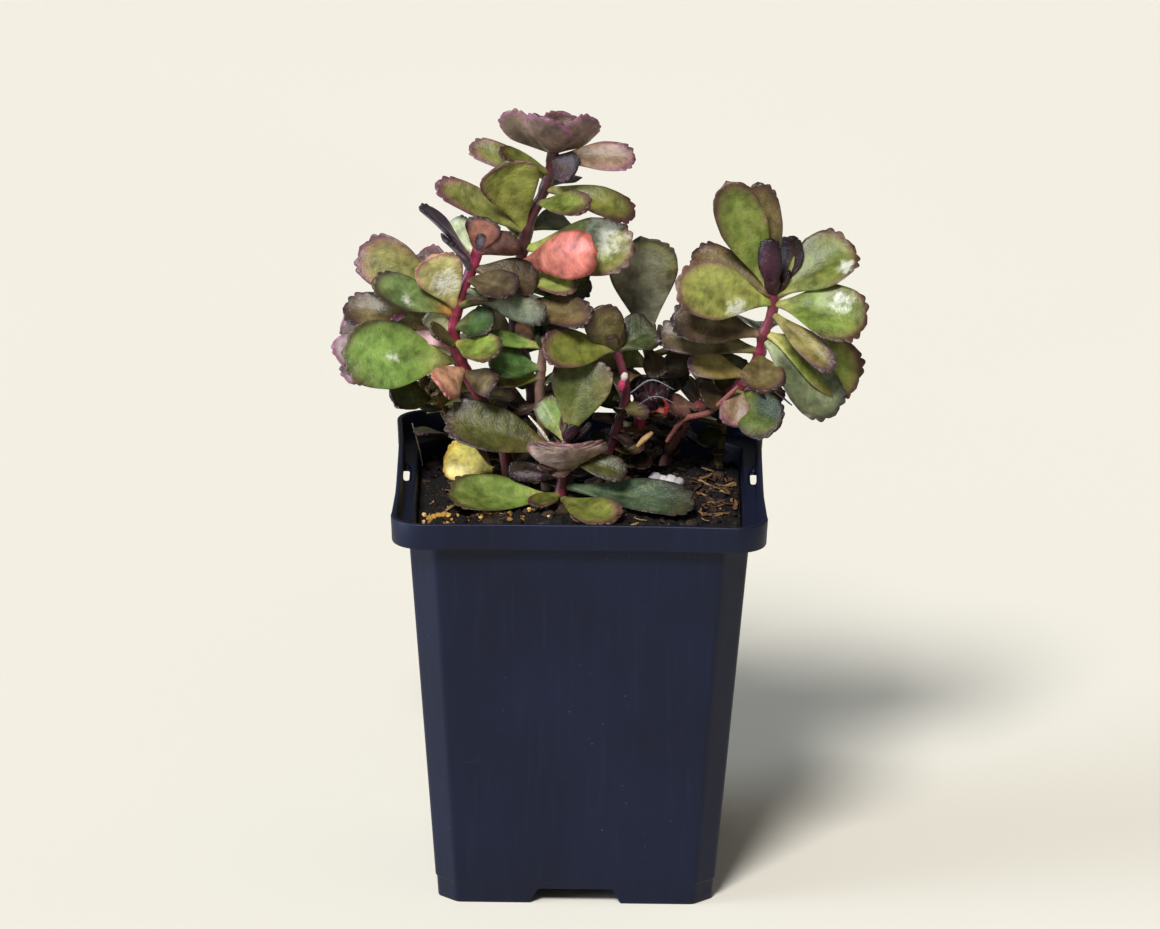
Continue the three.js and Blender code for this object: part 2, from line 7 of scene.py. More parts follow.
import bpy  # noqa: E402
import numpy as np  # noqa: E402
from mathutils import Matrix, Vector  # noqa: E402


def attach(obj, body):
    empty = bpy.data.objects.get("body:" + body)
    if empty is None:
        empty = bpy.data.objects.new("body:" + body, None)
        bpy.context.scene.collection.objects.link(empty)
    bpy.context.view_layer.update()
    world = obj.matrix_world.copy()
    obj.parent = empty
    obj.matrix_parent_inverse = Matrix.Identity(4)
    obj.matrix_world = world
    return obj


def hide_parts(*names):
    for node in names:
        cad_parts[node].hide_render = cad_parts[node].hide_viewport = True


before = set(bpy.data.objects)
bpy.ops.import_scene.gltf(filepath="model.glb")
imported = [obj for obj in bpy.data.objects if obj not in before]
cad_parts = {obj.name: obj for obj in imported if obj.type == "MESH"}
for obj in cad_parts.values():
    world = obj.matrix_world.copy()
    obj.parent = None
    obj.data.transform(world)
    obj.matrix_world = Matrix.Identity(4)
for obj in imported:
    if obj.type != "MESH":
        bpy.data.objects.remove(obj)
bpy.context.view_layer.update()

log = logging.getLogger("stonecrop")

Array = np.ndarray
Point = tuple[float, float, float]
MM = 0.001
ROOT = "root"

# The soil's top, in mm
SOIL_EDGE, SOIL_MOUND, SOIL_REACH = 89.4, 2.4, 39.0
COARSE_HEIGHT, COARSE_WAVE = 0.55, 0.57
FINE_HEIGHT, FINE_WAVE = 0.33, 1.2


# Small geometry helpers


def unit(vectors: Array) -> Array:
    """Scale vectors to length one along their last axis.

    Args:
        vectors: Any array whose last axis holds x, y and z.

    Returns:
        The same directions with length one.
    """
    return vectors / np.maximum(np.linalg.norm(vectors, axis=-1, keepdims=True), 1e-12)


def ease(values: Array, low: float, high: float) -> Array:
    """Rise smoothly from 0 at low to 1 at high, flat at both ends.

    Args:
        values: Where to read the step.
        low: The value that gives 0.
        high: The value that gives 1.

    Returns:
        3q^2 - 2q^3 of the share q of the way from low to high.
    """
    share = np.clip((np.asarray(values, float) - low) / (high - low), 0.0, 1.0)
    return share * share * (3.0 - 2.0 * share)


def linear_colour(code: str) -> Array:
    """Turn a hex colour as seen on a screen into linear light.

    Args:
        code: Six hex digits after a hash.

    Returns:
        Red, green and blue in linear light.
    """
    seen = np.array([int(code[at : at + 2], 16) for at in (1, 3, 5)]) / 255.0
    return np.where(seen <= 0.04045, seen / 12.92, ((seen + 0.055) / 1.055) ** 2.4)


def opaque(code: str) -> Array:
    """Turn a hex colour into linear light with full alpha."""
    return np.append(linear_colour(code), 1.0)


def plain(colour: Array, shape: tuple[int, ...]) -> dict[str, Array]:
    """Give the marks of a surface that has one tint all over."""
    return {"tint": np.broadcast_to(colour, (*shape, 4)).copy()}


def pick(draw: np.random.Generator, choices: tuple) -> object:
    """Draw one of several choices."""
    return choices[int(draw.integers(len(choices)))]


def angles(count: int) -> Array:
    """Share a full turn among a number of places."""
    return np.arange(count) * 2 * math.pi / count


def beside(heading: Array, away: Point = (0.0, 1.0, 0.0)) -> tuple[Array, Array]:
    """Give two directions that are square to a heading and to each other.

    Args:
        heading: Unit directions, with x, y and z along the last axis.
        away: A direction that none of them takes.

    Returns:
        The direction square to away and to the heading, and the one square to that and to the heading.
    """
    aside = unit(np.cross(away, heading))
    return aside, np.cross(heading, aside)


def arc(share: Array | float, start: Array, crest: Array, end: Array) -> Array:
    """Give points of a quadratic arc, which leaves its start towards a crest and comes from there to its end.

    Args:
        share: Shares q of the way, one number or an array.
        start: Where the arc starts.
        crest: The corner that it is bent towards.
        end: Where it ends.

    Returns:
        (1 - q)^2 start + 2q(1 - q) crest + q^2 end, with each place along the last axis.
    """
    share = np.asarray(share, float)[..., None]
    return (1 - share) ** 2 * start + 2 * share * (1 - share) * crest + share**2 * end


@dataclass(frozen=True)
class Bumps:
    """Irregular relief: sines in random directions, each octave twice as fine and half as high."""

    seed: int
    wavelength: float
    octaves: int = 3
    waves: int = 8

    def at(self, points: Array) -> Array:
        """Read the relief, which stays within about 1 either way.

        Args:
            points: Places, with x, y and z along the last axis.

        Returns:
            One number for each place.
        """
        draw = np.random.default_rng(self.seed)
        total = np.zeros(points.shape[:-1])
        for octave in range(self.octaves):
            ways = unit(draw.normal(size=(self.waves, 3)))
            shifts = draw.uniform(0.0, 2.0 * math.pi, self.waves)
            turns = points @ ways.T * (2.0 * math.pi * 2**octave / self.wavelength)
            total += np.sin(turns + shifts).sum(-1) * 0.5**octave / math.sqrt(self.waves)
        return total / 2.0


@dataclass
class Curve:
    """A smooth line through knots (centripetal Catmull-Rom), read by share of its length."""

    knots: Array

    STEPS = 40
    NUDGE = 0.01

    def __post_init__(self) -> None:
        """Work out the dense line and the share of the length at each of its points."""
        ends = np.vstack([2 * self.knots[0] - self.knots[1], self.knots, 2 * self.knots[-1] - self.knots[-2]])
        before, start, stop, after = ends[:-3], ends[1:-2], ends[2:-1], ends[3:]
        pairs = ((before, start), (start, stop), (stop, after))
        gaps = [np.linalg.norm(b - a, axis=1)[:, None] ** 0.5 for a, b in pairs]
        leave = (start - before) / gaps[0] - (stop - before) / (gaps[0] + gaps[1]) + (stop - start) / gaps[1]
        arrive = (stop - start) / gaps[1] - (after - start) / (gaps[1] + gaps[2]) + (after - stop) / gaps[2]
        leave, arrive = (leave * gaps[1])[:, None], (arrive * gaps[1])[:, None]
        start, stop = start[:, None], stop[:, None]
        t = (np.arange(self.STEPS) / self.STEPS)[None, :, None]
        line = start + leave * t + (3 * (stop - start) - 2 * leave - arrive) * t**2
        line = line + (2 * (start - stop) + leave + arrive) * t**3
        self.line = np.vstack([line.reshape(-1, 3), self.knots[-1]])
        walked = np.concatenate([[0.0], np.cumsum(np.linalg.norm(np.diff(self.line, axis=0), axis=1))])
        self.length = float(walked[-1])
        self.shares = walked / self.length

    def at(self, share: Array | float) -> Array:
        """Give the points at shares of the length.

        Args:
            share: One share from 0 to 1, or an array of them.

        Returns:
            The points, with x, y and z along the last axis.
        """
        return np.stack([np.interp(share, self.shares, self.line[:, axis]) for axis in range(3)], -1)

    def heading(self, share: Array | float) -> Array:
        """Give the directions of travel at shares of the length, from a short step either side.

        Args:
            share: One share from 0 to 1, or an array of them.

        Returns:
            Unit directions.
        """
        share = np.asarray(share, float)
        return unit(self.at(np.clip(share + self.NUDGE, 0, 1)) - self.at(np.clip(share - self.NUDGE, 0, 1)))


# Surfaces and the pieces made of them


@dataclass
class Surface:
    """A closed surface of rings between two end points, with its marks and its finish's number.

    A mark is a number, a place or a colour that each point carries for the material.
    """

    points: Array
    faces: list[tuple[int, ...]]
    marks: dict[str, Array]
    finish: int = 0


def ringed(rings: Array, start: Array, end: Array, marks: dict[str, Array], finish: int = 0) -> Surface:
    """Close a stack of rings with a fan to a point at each end.

    A ring turns anticlockwise as seen from the end it travels to, which leaves every face looking out.

    Args:
        rings: Points as (ring, place round it, xyz).
        start: The point that closes the first ring.
        end: The point that closes the last ring.
        marks: What each point carries, as (ring, place round it) or (ring, place round it, channel).
        finish: Which of the piece's finishes it wears.

    Returns:
        The closed surface. The end points carry the mean marks of their ring.
    """
    count, around = rings.shape[:2]
    points = np.vstack([rings.reshape(-1, 3), start, end])
    row = np.arange(count - 1)[:, None] * around
    here = np.arange(around)[None, :]
    after = (here + 1) % around
    quads = np.stack([row + here, row + after, row + around + after, row + around + here], -1)
    first, last = count * around, count * around + 1
    here, after = here[0], after[0]
    below = np.stack([np.full(around, first), after, here], -1)
    top = (count - 1) * around
    above = np.stack([np.full(around, last), top + here, top + after], -1)
    faces = [tuple(face) for group in (quads.reshape(-1, 4), below, above) for face in group.tolist()]
    carried = {}
    for name, values in marks.items():
        flat = values.reshape(count * around, -1)
        carried[name] = np.vstack([flat, flat[:around].mean(0), flat[-around:].mean(0)])
    return Surface(points, faces, carried, finish)


@dataclass
class Piece:
    """One finished object, gathered from surfaces in mm and dressed with its finishes."""

    name: str
    slot: str
    finishes: list[bpy.types.Material]
    replaces: tuple[str, ...] = ()
    crease: float = 40.0
    surfaces: list[Surface] = field(default_factory=list)

    def add(self, *surfaces: Surface) -> None:
        """Take in more surfaces."""
        self.surfaces.extend(surfaces)

    def build(self) -> bpy.types.Object:
        """Make the mesh with its marks and let it ride on the pot's body.

        Returns:
            The object, at the origin, with its place in its mesh.
        """
        firsts = np.cumsum([0] + [len(s.points) for s in self.surfaces])
        faces = [tuple(v + first for v in f) for s, first in zip(self.surfaces, firsts) for f in s.faces]
        mesh = bpy.data.meshes.new(self.name)
        mesh.from_pydata((np.vstack([s.points for s in self.surfaces]) * MM).tolist(), [], faces)
        for material in self.finishes:
            mesh.materials.append(material)
        worn = np.concatenate([np.full(len(s.faces), s.finish) for s in self.surfaces])
        mesh.polygons.foreach_set("material_index", worn.astype(np.int32))
        for name in sorted({name for s in self.surfaces for name in s.marks}):
            self._mark(mesh, name)
        mesh.shade_smooth()
        mesh.set_sharp_from_angle(angle=math.radians(self.crease))
        mesh.update()
        thing = bpy.data.objects.new(self.name, mesh)
        bpy.context.scene.collection.objects.link(thing)
        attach(thing, ROOT)
        if self.replaces:
            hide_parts(*self.replaces)
        log.info("%s: %d points, %d faces", self.name, len(mesh.vertices), len(mesh.polygons))
        return thing

    def _mark(self, mesh: bpy.types.Mesh, name: str) -> None:
        """Write one mark as a mesh attribute: a number, a place of three or a colour of four.

        Args:
            mesh: The finished mesh.
            name: The mark's name. Surfaces without it get zeros.
        """
        width = max(s.marks[name].shape[1] for s in self.surfaces if name in s.marks)
        parts = [s.marks.get(name, np.zeros((len(s.points), width))) for s in self.surfaces]
        values = np.vstack(parts).astype(np.float32)
        kind, key = {1: ("FLOAT", "value"), 3: ("FLOAT_VECTOR", "vector"), 4: ("FLOAT_COLOR", "color")}[width]
        mesh.attributes.new(name, kind, "POINT").data.foreach_set(key, values.ravel())


# Materials


class Signal:
    """A number that varies over a surface. Python arithmetic on it adds Math nodes."""

    def __init__(self, recipe: "Recipe", socket: bpy.types.NodeSocket) -> None:
        """Wrap an output socket of a recipe."""
        self.recipe = recipe
        self.socket = socket

    def _math(self, operation: str, *values: "Signal | float") -> "Signal":
        """Add one Math node and give its result."""
        node = self.recipe.node("ShaderNodeMath", {"operation": operation}, dict(enumerate(values)))
        return Signal(self.recipe, node.outputs[0])

    def __add__(self, other: "Signal | float") -> "Signal":
        """Sum."""
        return self._math("ADD", self, other)

    def __sub__(self, other: "Signal | float") -> "Signal":
        """Difference."""
        return self._math("SUBTRACT", self, other)

    def __rsub__(self, other: float) -> "Signal":
        """Difference from a number."""
        return self._math("SUBTRACT", other, self)

    def __mul__(self, other: "Signal | float") -> "Signal":
        """Product."""
        return self._math("MULTIPLY", self, other)

    __radd__ = __add__
    __rmul__ = __mul__

    def step(self, low: float, high: float) -> "Signal":
        """Rise smoothly from 0 at one value to 1 at another.

        Args:
            low: The value that gives 0.
            high: The value that gives 1. It may be below low, which turns the step round.

        Returns:
            The step.
        """
        node = self.recipe.node(
            "ShaderNodeMapRange",
            {"interpolation_type": "SMOOTHSTEP"},
            {"Value": self, "From Min": low, "From Max": high},
        )
        return Signal(self.recipe, node.outputs["Result"])


Colour = bpy.types.NodeSocket | str


class Recipe:
    """The node tree of one material, on the piece's own coordinates."""

    def __init__(self, name: str) -> None:
        """Start a material with its Principled shader.

        Args:
            name: The material's name.
        """
        self.material = bpy.data.materials.new(name)
        self.material.use_nodes = True
        self.tree = self.material.node_tree
        self.shader = self.tree.nodes["Principled BSDF"]
        self.place = self.node("ShaderNodeTexCoord").outputs["Object"]

    def node(self, kind: str, settings: dict | None = None, inputs: dict | None = None) -> bpy.types.Node:
        """Add a node, with its settings first and then its sockets.

        Args:
            kind: The node's type name.
            settings: Properties such as a Math node's operation.
            inputs: Socket name or number to a value, a colour code, a socket or a signal.

        Returns:
            The new node.
        """
        made = self.tree.nodes.new(kind)
        for key, value in (settings or {}).items():
            setattr(made, key, value)
        for key, value in (inputs or {}).items():
            self.feed(made.inputs[key], value)
        return made

    def feed(self, socket: bpy.types.NodeSocket, value: object) -> None:
        """Set a socket to a constant, or link it.

        Args:
            socket: The input socket.
            value: A number, a vector, a hex colour, another node's socket, or a signal.
        """
        if isinstance(value, Signal):
            value = value.socket
        if isinstance(value, bpy.types.NodeSocket):
            self.tree.links.new(value, socket)
        elif isinstance(value, str):
            socket.default_value = opaque(value)
        else:
            socket.default_value = value

    def noise(
        self, size: float, detail: float = 3.0, stretch: Point = (1.0, 1.0, 1.0), tangle: float = 0.0
    ) -> Signal:
        """Give cloudy noise from 0 to 1 whose blotches are about size mm across.

        Args:
            size: The width of a blotch, in mm.
            detail: How many finer octaves it holds.
            stretch: How many times longer the blotches are along X, Y and Z.
            tangle: How far the noise bends itself.

        Returns:
            The noise.
        """
        spread = self.node(
            "ShaderNodeMapping",
            {"vector_type": "POINT"},
            {"Vector": self.place, "Scale": tuple(1.0 / s for s in stretch)},
        )
        inputs = {
            "Vector": spread.outputs[0],
            "Scale": 0.5 / (size * MM),
            "Detail": detail,
            "Distortion": tangle,
        }
        return Signal(self, self.node("ShaderNodeTexNoise", None, inputs).outputs["Fac"])

    def cells(self, size: float) -> Signal:
        """Give the distance from the middle of random cells about size mm across."""
        inputs = {"Vector": self.place, "Scale": 1.0 / (size * MM)}
        return Signal(self, self.node("ShaderNodeTexVoronoi", None, inputs).outputs["Distance"])

    def mark(self, name: str) -> Signal:
        """Read a number that the mesh carries."""
        return Signal(self, self._carried(name).outputs["Fac"])

    def tint(self, name: str) -> bpy.types.NodeSocket:
        """Read a colour that the mesh carries."""
        return self._carried(name).outputs["Color"]

    def _carried(self, name: str) -> bpy.types.Node:
        """Add the node that reads one of the mesh's attributes."""
        return self.node("ShaderNodeAttribute", {"attribute_type": "GEOMETRY", "attribute_name": name})

    def mix(self, factor: Signal, under: Colour, over: Colour) -> bpy.types.NodeSocket:
        """Lay one colour over another by a factor from 0 to 1."""
        node = self.node("ShaderNodeMix", {"data_type": "RGBA"}, {0: factor, 6: under, 7: over})
        return node.outputs[2]

    def dim(self, colour: bpy.types.NodeSocket, factor: Signal) -> bpy.types.NodeSocket:
        """Scale a colour by a number."""
        node = self.node("ShaderNodeVectorMath", {"operation": "SCALE"}, {0: colour, "Scale": factor})
        return node.outputs[0]

    def finish(
        self, colour: Colour, roughness: Signal, relief: Signal, depth: float, **constants: float
    ) -> bpy.types.Material:
        """Connect the shader.

        Args:
            colour: The base colour.
            roughness: The roughness.
            relief: The height of the small relief, about 0 to 1.
            depth: How many mm a height of 1 stands up.
            constants: Other shader sockets, with an underscore for a space, set to plain numbers.

        Returns:
            The finished material.
        """
        self.feed(self.shader.inputs["Base Color"], colour)
        self.feed(self.shader.inputs["Roughness"], roughness)
        bump = self.node("ShaderNodeBump", None, {"Strength": 1.0, "Distance": depth * MM, "Height": relief})
        self.feed(self.shader.inputs["Normal"], bump.outputs[0])
        for name, value in constants.items():
            self.shader.inputs[name.replace("_", " ")].default_value = value
        return self.material


@dataclass(frozen=True)
class LeafSkin:
    """A waxy leaf: its own tints, blushing to the rim, with mottles, small dark specks and painted highlights
    (glints, pale specks, pale midrib and crease lines).
    """

    name: str = "waxy_leaf"
    gloss: float = 0.3
    sunned: str = "#6f5a30"
    # The pale colour of the painted highlight along the midrib.
    rib: str = "#b9bd84"
    speck: str = "#3a2a20"
    # The colour of tiny pale specks painted as glints of light.
    fleck: str = "#cfd0b0"
    glint: str = "#d0cfc4"
    # The pale colour of the painted highlights along the crease lines.
    crease: str = "#c9c6a4"

    def make(self) -> bpy.types.Material:
        """Build the material from the marks that every blade carries.

        Returns:
            The material.
        """
        recipe = Recipe(self.name)
        cloud, patch = recipe.noise(3.2, 4.0, tangle=0.6), recipe.noise(1.1, 3.0)
        grain = recipe.noise(0.22, 2.0)
        blush = (recipe.mark("edge") + (cloud - 0.5) * 0.9 + (patch - 0.5) * 0.35).step(0.22, 0.95)
        colour = recipe.mix(blush * 0.92, recipe.tint("tint"), recipe.tint("rim"))
        sunned = recipe.noise(7.0, 3.0).step(0.48, 0.72)
        colour = recipe.mix(sunned * 0.3, colour, self.sunned)
        colour = recipe.dim(colour, 0.3 + cloud.step(0.25, 0.75) * 0.75 + patch.step(0.25, 0.75) * 0.55)
        # Painted highlight: a faint pale line along the midrib.
        colour = recipe.mix(recipe.mark("rib") * 0.06, colour, self.rib)
        speck = recipe.cells(2.3).step(0.16, 0.06) * patch.step(0.48, 0.62)
        colour = recipe.mix(speck * 0.55, colour, self.speck)
        # Painted highlights: tiny pale specks as glints, in cloudy patches.
        fleck = recipe.cells(0.7).step(0.2, 0.08) * cloud.step(0.5, 0.66)
        colour = recipe.mix(fleck * 0.22, colour, self.fleck)
        # Painted glints: pale patches of highlight where the glint mark is high, broken up by noise and crease
        # lines, with lower roughness.
        shine, fold = recipe.mark("wet"), recipe.noise(1.6, 3.0, tangle=1.4)
        crease = fold.step(0.44, 0.5) * (1 - fold.step(0.5, 0.57))
        broken = (patch - 0.5) * 1.9 + (recipe.noise(0.5, 3.0) - 0.5) * 1.1
        wet = (shine * 1.2 + broken).step(0.35, 1.2) * shine.step(0.02, 0.4) * (0.84 + crease * 0.16)
        colour = recipe.mix(wet * 0.8, colour, self.glint)
        # Painted highlights: faint pale lines along the creases, in cloudy patches.
        colour = recipe.mix(crease * cloud.step(0.5, 0.7) * 0.1, colour, self.crease)
        rough = self.gloss + cloud * 0.16 + grain * 0.08 - wet * 0.1
        relief = cloud + patch * 0.6 + grain * 0.2 + crease * shine * 0.2
        constants = {"Specular_IOR_Level": 0.24, "Coat_Weight": 0.06, "Coat_Roughness": 0.18}
        return recipe.finish(colour, rough, relief, 0.5, **constants)


@dataclass(frozen=True)
class StemSkin:
    """A fleshy stem: its own tints with lengthwise streaks and darker leaf scars."""

    name: str = "fleshy_stem"
    bark: str = "#4a2a24"

    def make(self) -> bpy.types.Material:
        """Build the material from the marks that every stem carries.

        Returns:
            The material.
        """
        recipe = Recipe(self.name)
        streak, cloud = recipe.noise(0.5, 3.0, (1.0, 1.0, 5.0)), recipe.noise(2.4, 3.0)
        colour = recipe.mix(cloud.step(0.45, 0.7) * 0.5, recipe.tint("tint"), self.bark)
        colour = recipe.dim(colour, 0.6 + streak * 0.5 + cloud * 0.34)
        scar = (recipe.mark("edge") + (streak - 0.5) * 0.5).step(0.4, 0.9)
        colour = recipe.mix(scar * 0.6, colour, recipe.tint("rim"))
        rough, relief = 0.34 + cloud * 0.2, streak * 0.6 + cloud * 0.4
        return recipe.finish(colour, rough, relief, 0.3, Specular_IOR_Level=0.5, Coat_Weight=0.08)


@dataclass(frozen=True)
class PotPlastic:
    """Dark satin plastic with draw marks down its walls, specks of dust and scuffs."""

    name: str = "pot_plastic_satin"
    deep: str = "#070c20"
    body: str = "#0a1128"
    draw_mark: str = "#141c33"
    worn: str = "#10182e"
    dust: str = "#6f6a62"
    scuff: str = "#2c3242"

    def make(self) -> bpy.types.Material:
        """Build the material on the pot's own coordinates.

        Returns:
            The material.
        """
        recipe = Recipe(self.name)
        streak = recipe.noise(0.8, 3.0, (1.0, 1.0, 60.0))
        broad = recipe.noise(5.0, 2.0, (1.0, 1.0, 9.0))
        cloud, grain = recipe.noise(14.0, 4.0), recipe.noise(0.3, 2.0)
        scuff = recipe.noise(2.2, 5.0, (1.0, 1.0, 0.5), 1.2)
        colour = recipe.mix(cloud.step(0.3, 0.75), self.deep, self.body)
        colour = recipe.mix(streak.step(0.5, 0.8) * 0.3, colour, self.draw_mark)
        colour = recipe.mix(broad.step(0.5, 0.8) * 0.2, colour, self.worn)
        dust = recipe.cells(3.1).step(0.075, 0.03) * cloud.step(0.5, 0.62)
        colour = recipe.mix(dust * 0.35, colour, self.dust)
        colour = recipe.mix(scuff.step(0.66, 0.8) * 0.2, colour, self.scuff)
        rough = 0.4 + cloud * 0.12 + streak * 0.06 + dust * 0.2
        relief = streak * 0.4 + grain * 0.2 + cloud * 0.5
        return recipe.finish(colour, rough, relief, 0.14, Specular_IOR_Level=0.22)


@dataclass(frozen=True)
class Earth:
    """Damp potting soil: dark peat whose tint is darkened to near black as painted shade, with brown fibres and
    paler crumbs.
    """

    name: str = "potting_soil_crumbs"
    fibre: str = "#6b4a33"
    fleck: str = "#a58a63"

    def make(self) -> bpy.types.Material:
        """Build the material from the soil's tints and fine noise.

        Returns:
            The material.
        """
        recipe = Recipe(self.name)
        cloud, crumb, grain = recipe.noise(6.0, 4.0), recipe.noise(1.0, 4.0), recipe.noise(0.25, 3.0)
        colour = recipe.dim(recipe.tint("tint"), 0.35 + crumb * 0.8 + cloud * 0.5)
        fibre = recipe.noise(0.6, 3.0, (4.0, 1.0, 1.0), 1.5).step(0.6, 0.72)
        colour = recipe.mix(fibre * 0.45, colour, self.fibre)
        colour = recipe.mix(recipe.cells(1.9).step(0.12, 0.05) * 0.5, colour, self.fleck)
        rough = 0.72 + crumb * 0.2
        return recipe.finish(colour, rough, crumb + grain * 0.5 + cloud, 0.9, Specular_IOR_Level=0.3)


@dataclass(frozen=True)
class Mineral:
    """Dry grains or crumbs, pitted and dusty, in the tint that each one carries."""

    name: str
    stain: str

    def make(self) -> bpy.types.Material:
        """Build the material from each grain's tint.

        Returns:
            The material.
        """
        recipe = Recipe(self.name)
        cloud, pit = recipe.noise(1.2, 4.0), recipe.cells(0.5)
        colour = recipe.dim(recipe.tint("tint"), 0.7 + cloud * 0.55)
        colour = recipe.mix(pit.step(0.3, 0.12) * 0.5, colour, self.stain)
        return recipe.finish(colour, 0.6 + cloud * 0.3, cloud + pit * 0.6, 0.3, Specular_IOR_Level=0.35)


@dataclass(frozen=True)
class Sweep:
    """The plain pale floor, with a breath of unevenness."""

    name: str = "studio_floor"
    shade: str = "#d7d2c5"
    light: str = "#d9d4c7"

    def make(self) -> bpy.types.Material:
        """Build the floor's material.

        Returns:
            The material.
        """
        recipe = Recipe(self.name)
        cloud = recipe.noise(180.0, 2.0)
        colour = recipe.mix(cloud.step(0.2, 0.8), self.shade, self.light)
        return recipe.finish(colour, 0.9 + cloud * 0.05, cloud, 0.02, Specular_IOR_Level=0.1)


# Leaves and stems


class Facing(Enum):
    """Where the upper side of a leaf looks. INWARD is along its stem."""

    UP = (0.0, 0.0, 1.0)
    UP_FORWARD = (0.0, -0.5, 1.0)
    FORWARD_UP = (0.0, -1.0, 1.0)
    FORWARD = (0.0, -1.0, 0.3)
    MOSTLY_FORWARD = (0.0, -1.0, 0.6)
    BACKWARD = (0.0, 1.0, 0.4)
    AWAY = (0.0, 1.0, -0.3)
    AWAY_RIGHT = (0.5, 1.0, 0.3)
    AWAY_LEFT = (-0.4, 1.0, 0.3)
    INWARD = None


class Tone(Enum):
    """A leaf's colours: its stalk, its blade, its toothed end, its rim and its underside."""

    OLIVE = ("#787640", "#626628", "#5a482e", "#46292b", "#66643c")
    GREEN = ("#8e8e4c", "#66742f", "#665e34", "#4a2f26", "#6f7444")
    BRIGHT_GREEN = ("#a09a58", "#647a34", "#5e7034", "#40331f", "#76824a")
    YELLOW_GREEN = ("#979c4a", "#8e9246", "#837844", "#5c3c3c", "#94925a")
    HEATHER = ("#7a7e42", "#72723a", "#7d5c48", "#5c3844", "#74683f")
    ROSETTE = ("#6b5c44", "#5e4c40", "#6a4a46", "#74485a", "#5c4a42")
    DARK_OLIVE = ("#4c4c28", "#37401a", "#37331b", "#271a1a", "#4a4a28")
    MAROON = ("#4a1d2b", "#2a141d", "#221019", "#1a0d14", "#381a27")
    CORAL = ("#dca2aa", "#b66658", "#ac6149", "#8e453a", "#b86a5a")
    CREAM = ("#b8a468", "#b4b46a", "#b8a878", "#9a6a5c", "#b0ae70")
    GREY_GREEN = ("#747a58", "#5a6044", "#545a3e", "#383430", "#6c7058")
    MAUVE = ("#96787e", "#a0928e", "#b4a6a6", "#7d5266", "#a09092")
    OLIVE_BROWN = ("#625634", "#574c2d", "#513a2a", "#332022", "#5a4e34")
    BROWN = ("#5f4f38", "#473a26", "#3d2c26", "#281a18", "#4f402c")
    AMBER = ("#8f8a4c", "#7f753e", "#75584a", "#4f3a44", "#7d6f4a")
    FLAMED = ("#d86070", "#8a5a4c", "#3c2630", "#2a1a22", "#96625a")
    DARK_GREEN = ("#56663a", "#334c22", "#2e3c1a", "#242417", "#44542f")
    DRIED = ("#3a2420", "#32211c", "#2a1a17", "#1c1110", "#3a2720")
    MOSS = ("#66693a", "#46521f", "#463f22", "#332220", "#50522c")
    RUST = ("#7a4a44", "#5c4034", "#4a3028", "#33201f", "#6a4a42")
    PEACH = ("#b87a66", "#c28e72", "#b8806a", "#8a5246", "#b8886c")
    # A grey-green darkened to paint the shadow that falls on the low front leaf which wears it.
    SHADE = ("#454c38", "#3a4632", "#384030", "#292926", "#454c3a")
    YELLOW = ("#e8c860", "#fce47c", "#f4d868", "#c8a040", "#f0d878")
    SILVER = ("#a8ac84", "#a4ac84", "#98a07a", "#77776e", "#a8ae8c")
    DUSKY = ("#8a5a62", "#453641", "#352833", "#261c24", "#6a5c6a")
    GLOSSY = ("#a8743c", "#667a48", "#525a3c", "#3a2e28", "#6c7454")
    BLUSH = ("#a83a62", "#d0a8b4", "#dcc8c8", "#b84a78", "#b88090")
    PLUM = ("#4f3a3c", "#3f2c30", "#35242a", "#2a1a22", "#45323a")
    # A pinkish beige whose underside is made much paler to paint light on the front shoot's crescent leaf, whose
    # seen underside the lamps barely reach.
    PAINTED_LIT_PINK = ("#a88e78", "#a48c78", "#a08070", "#6a4a4c", "#c8ac98")
    UMBER = ("#504526", "#3e3e17", "#3a3016", "#2a1d19", "#463e25")
    ROSY = ("#7a7e42", "#78604a", "#8e605a", "#5c3844", "#7a6644")
    WEDGE = ("#a4a484", "#80806a", "#7c7e48", "#4a3f38", "#7c8460")

    @property
    def hues(self) -> Array:
        """The five colours in linear light, with full alpha, one a row."""
        return np.array([opaque(code) for code in self.value])


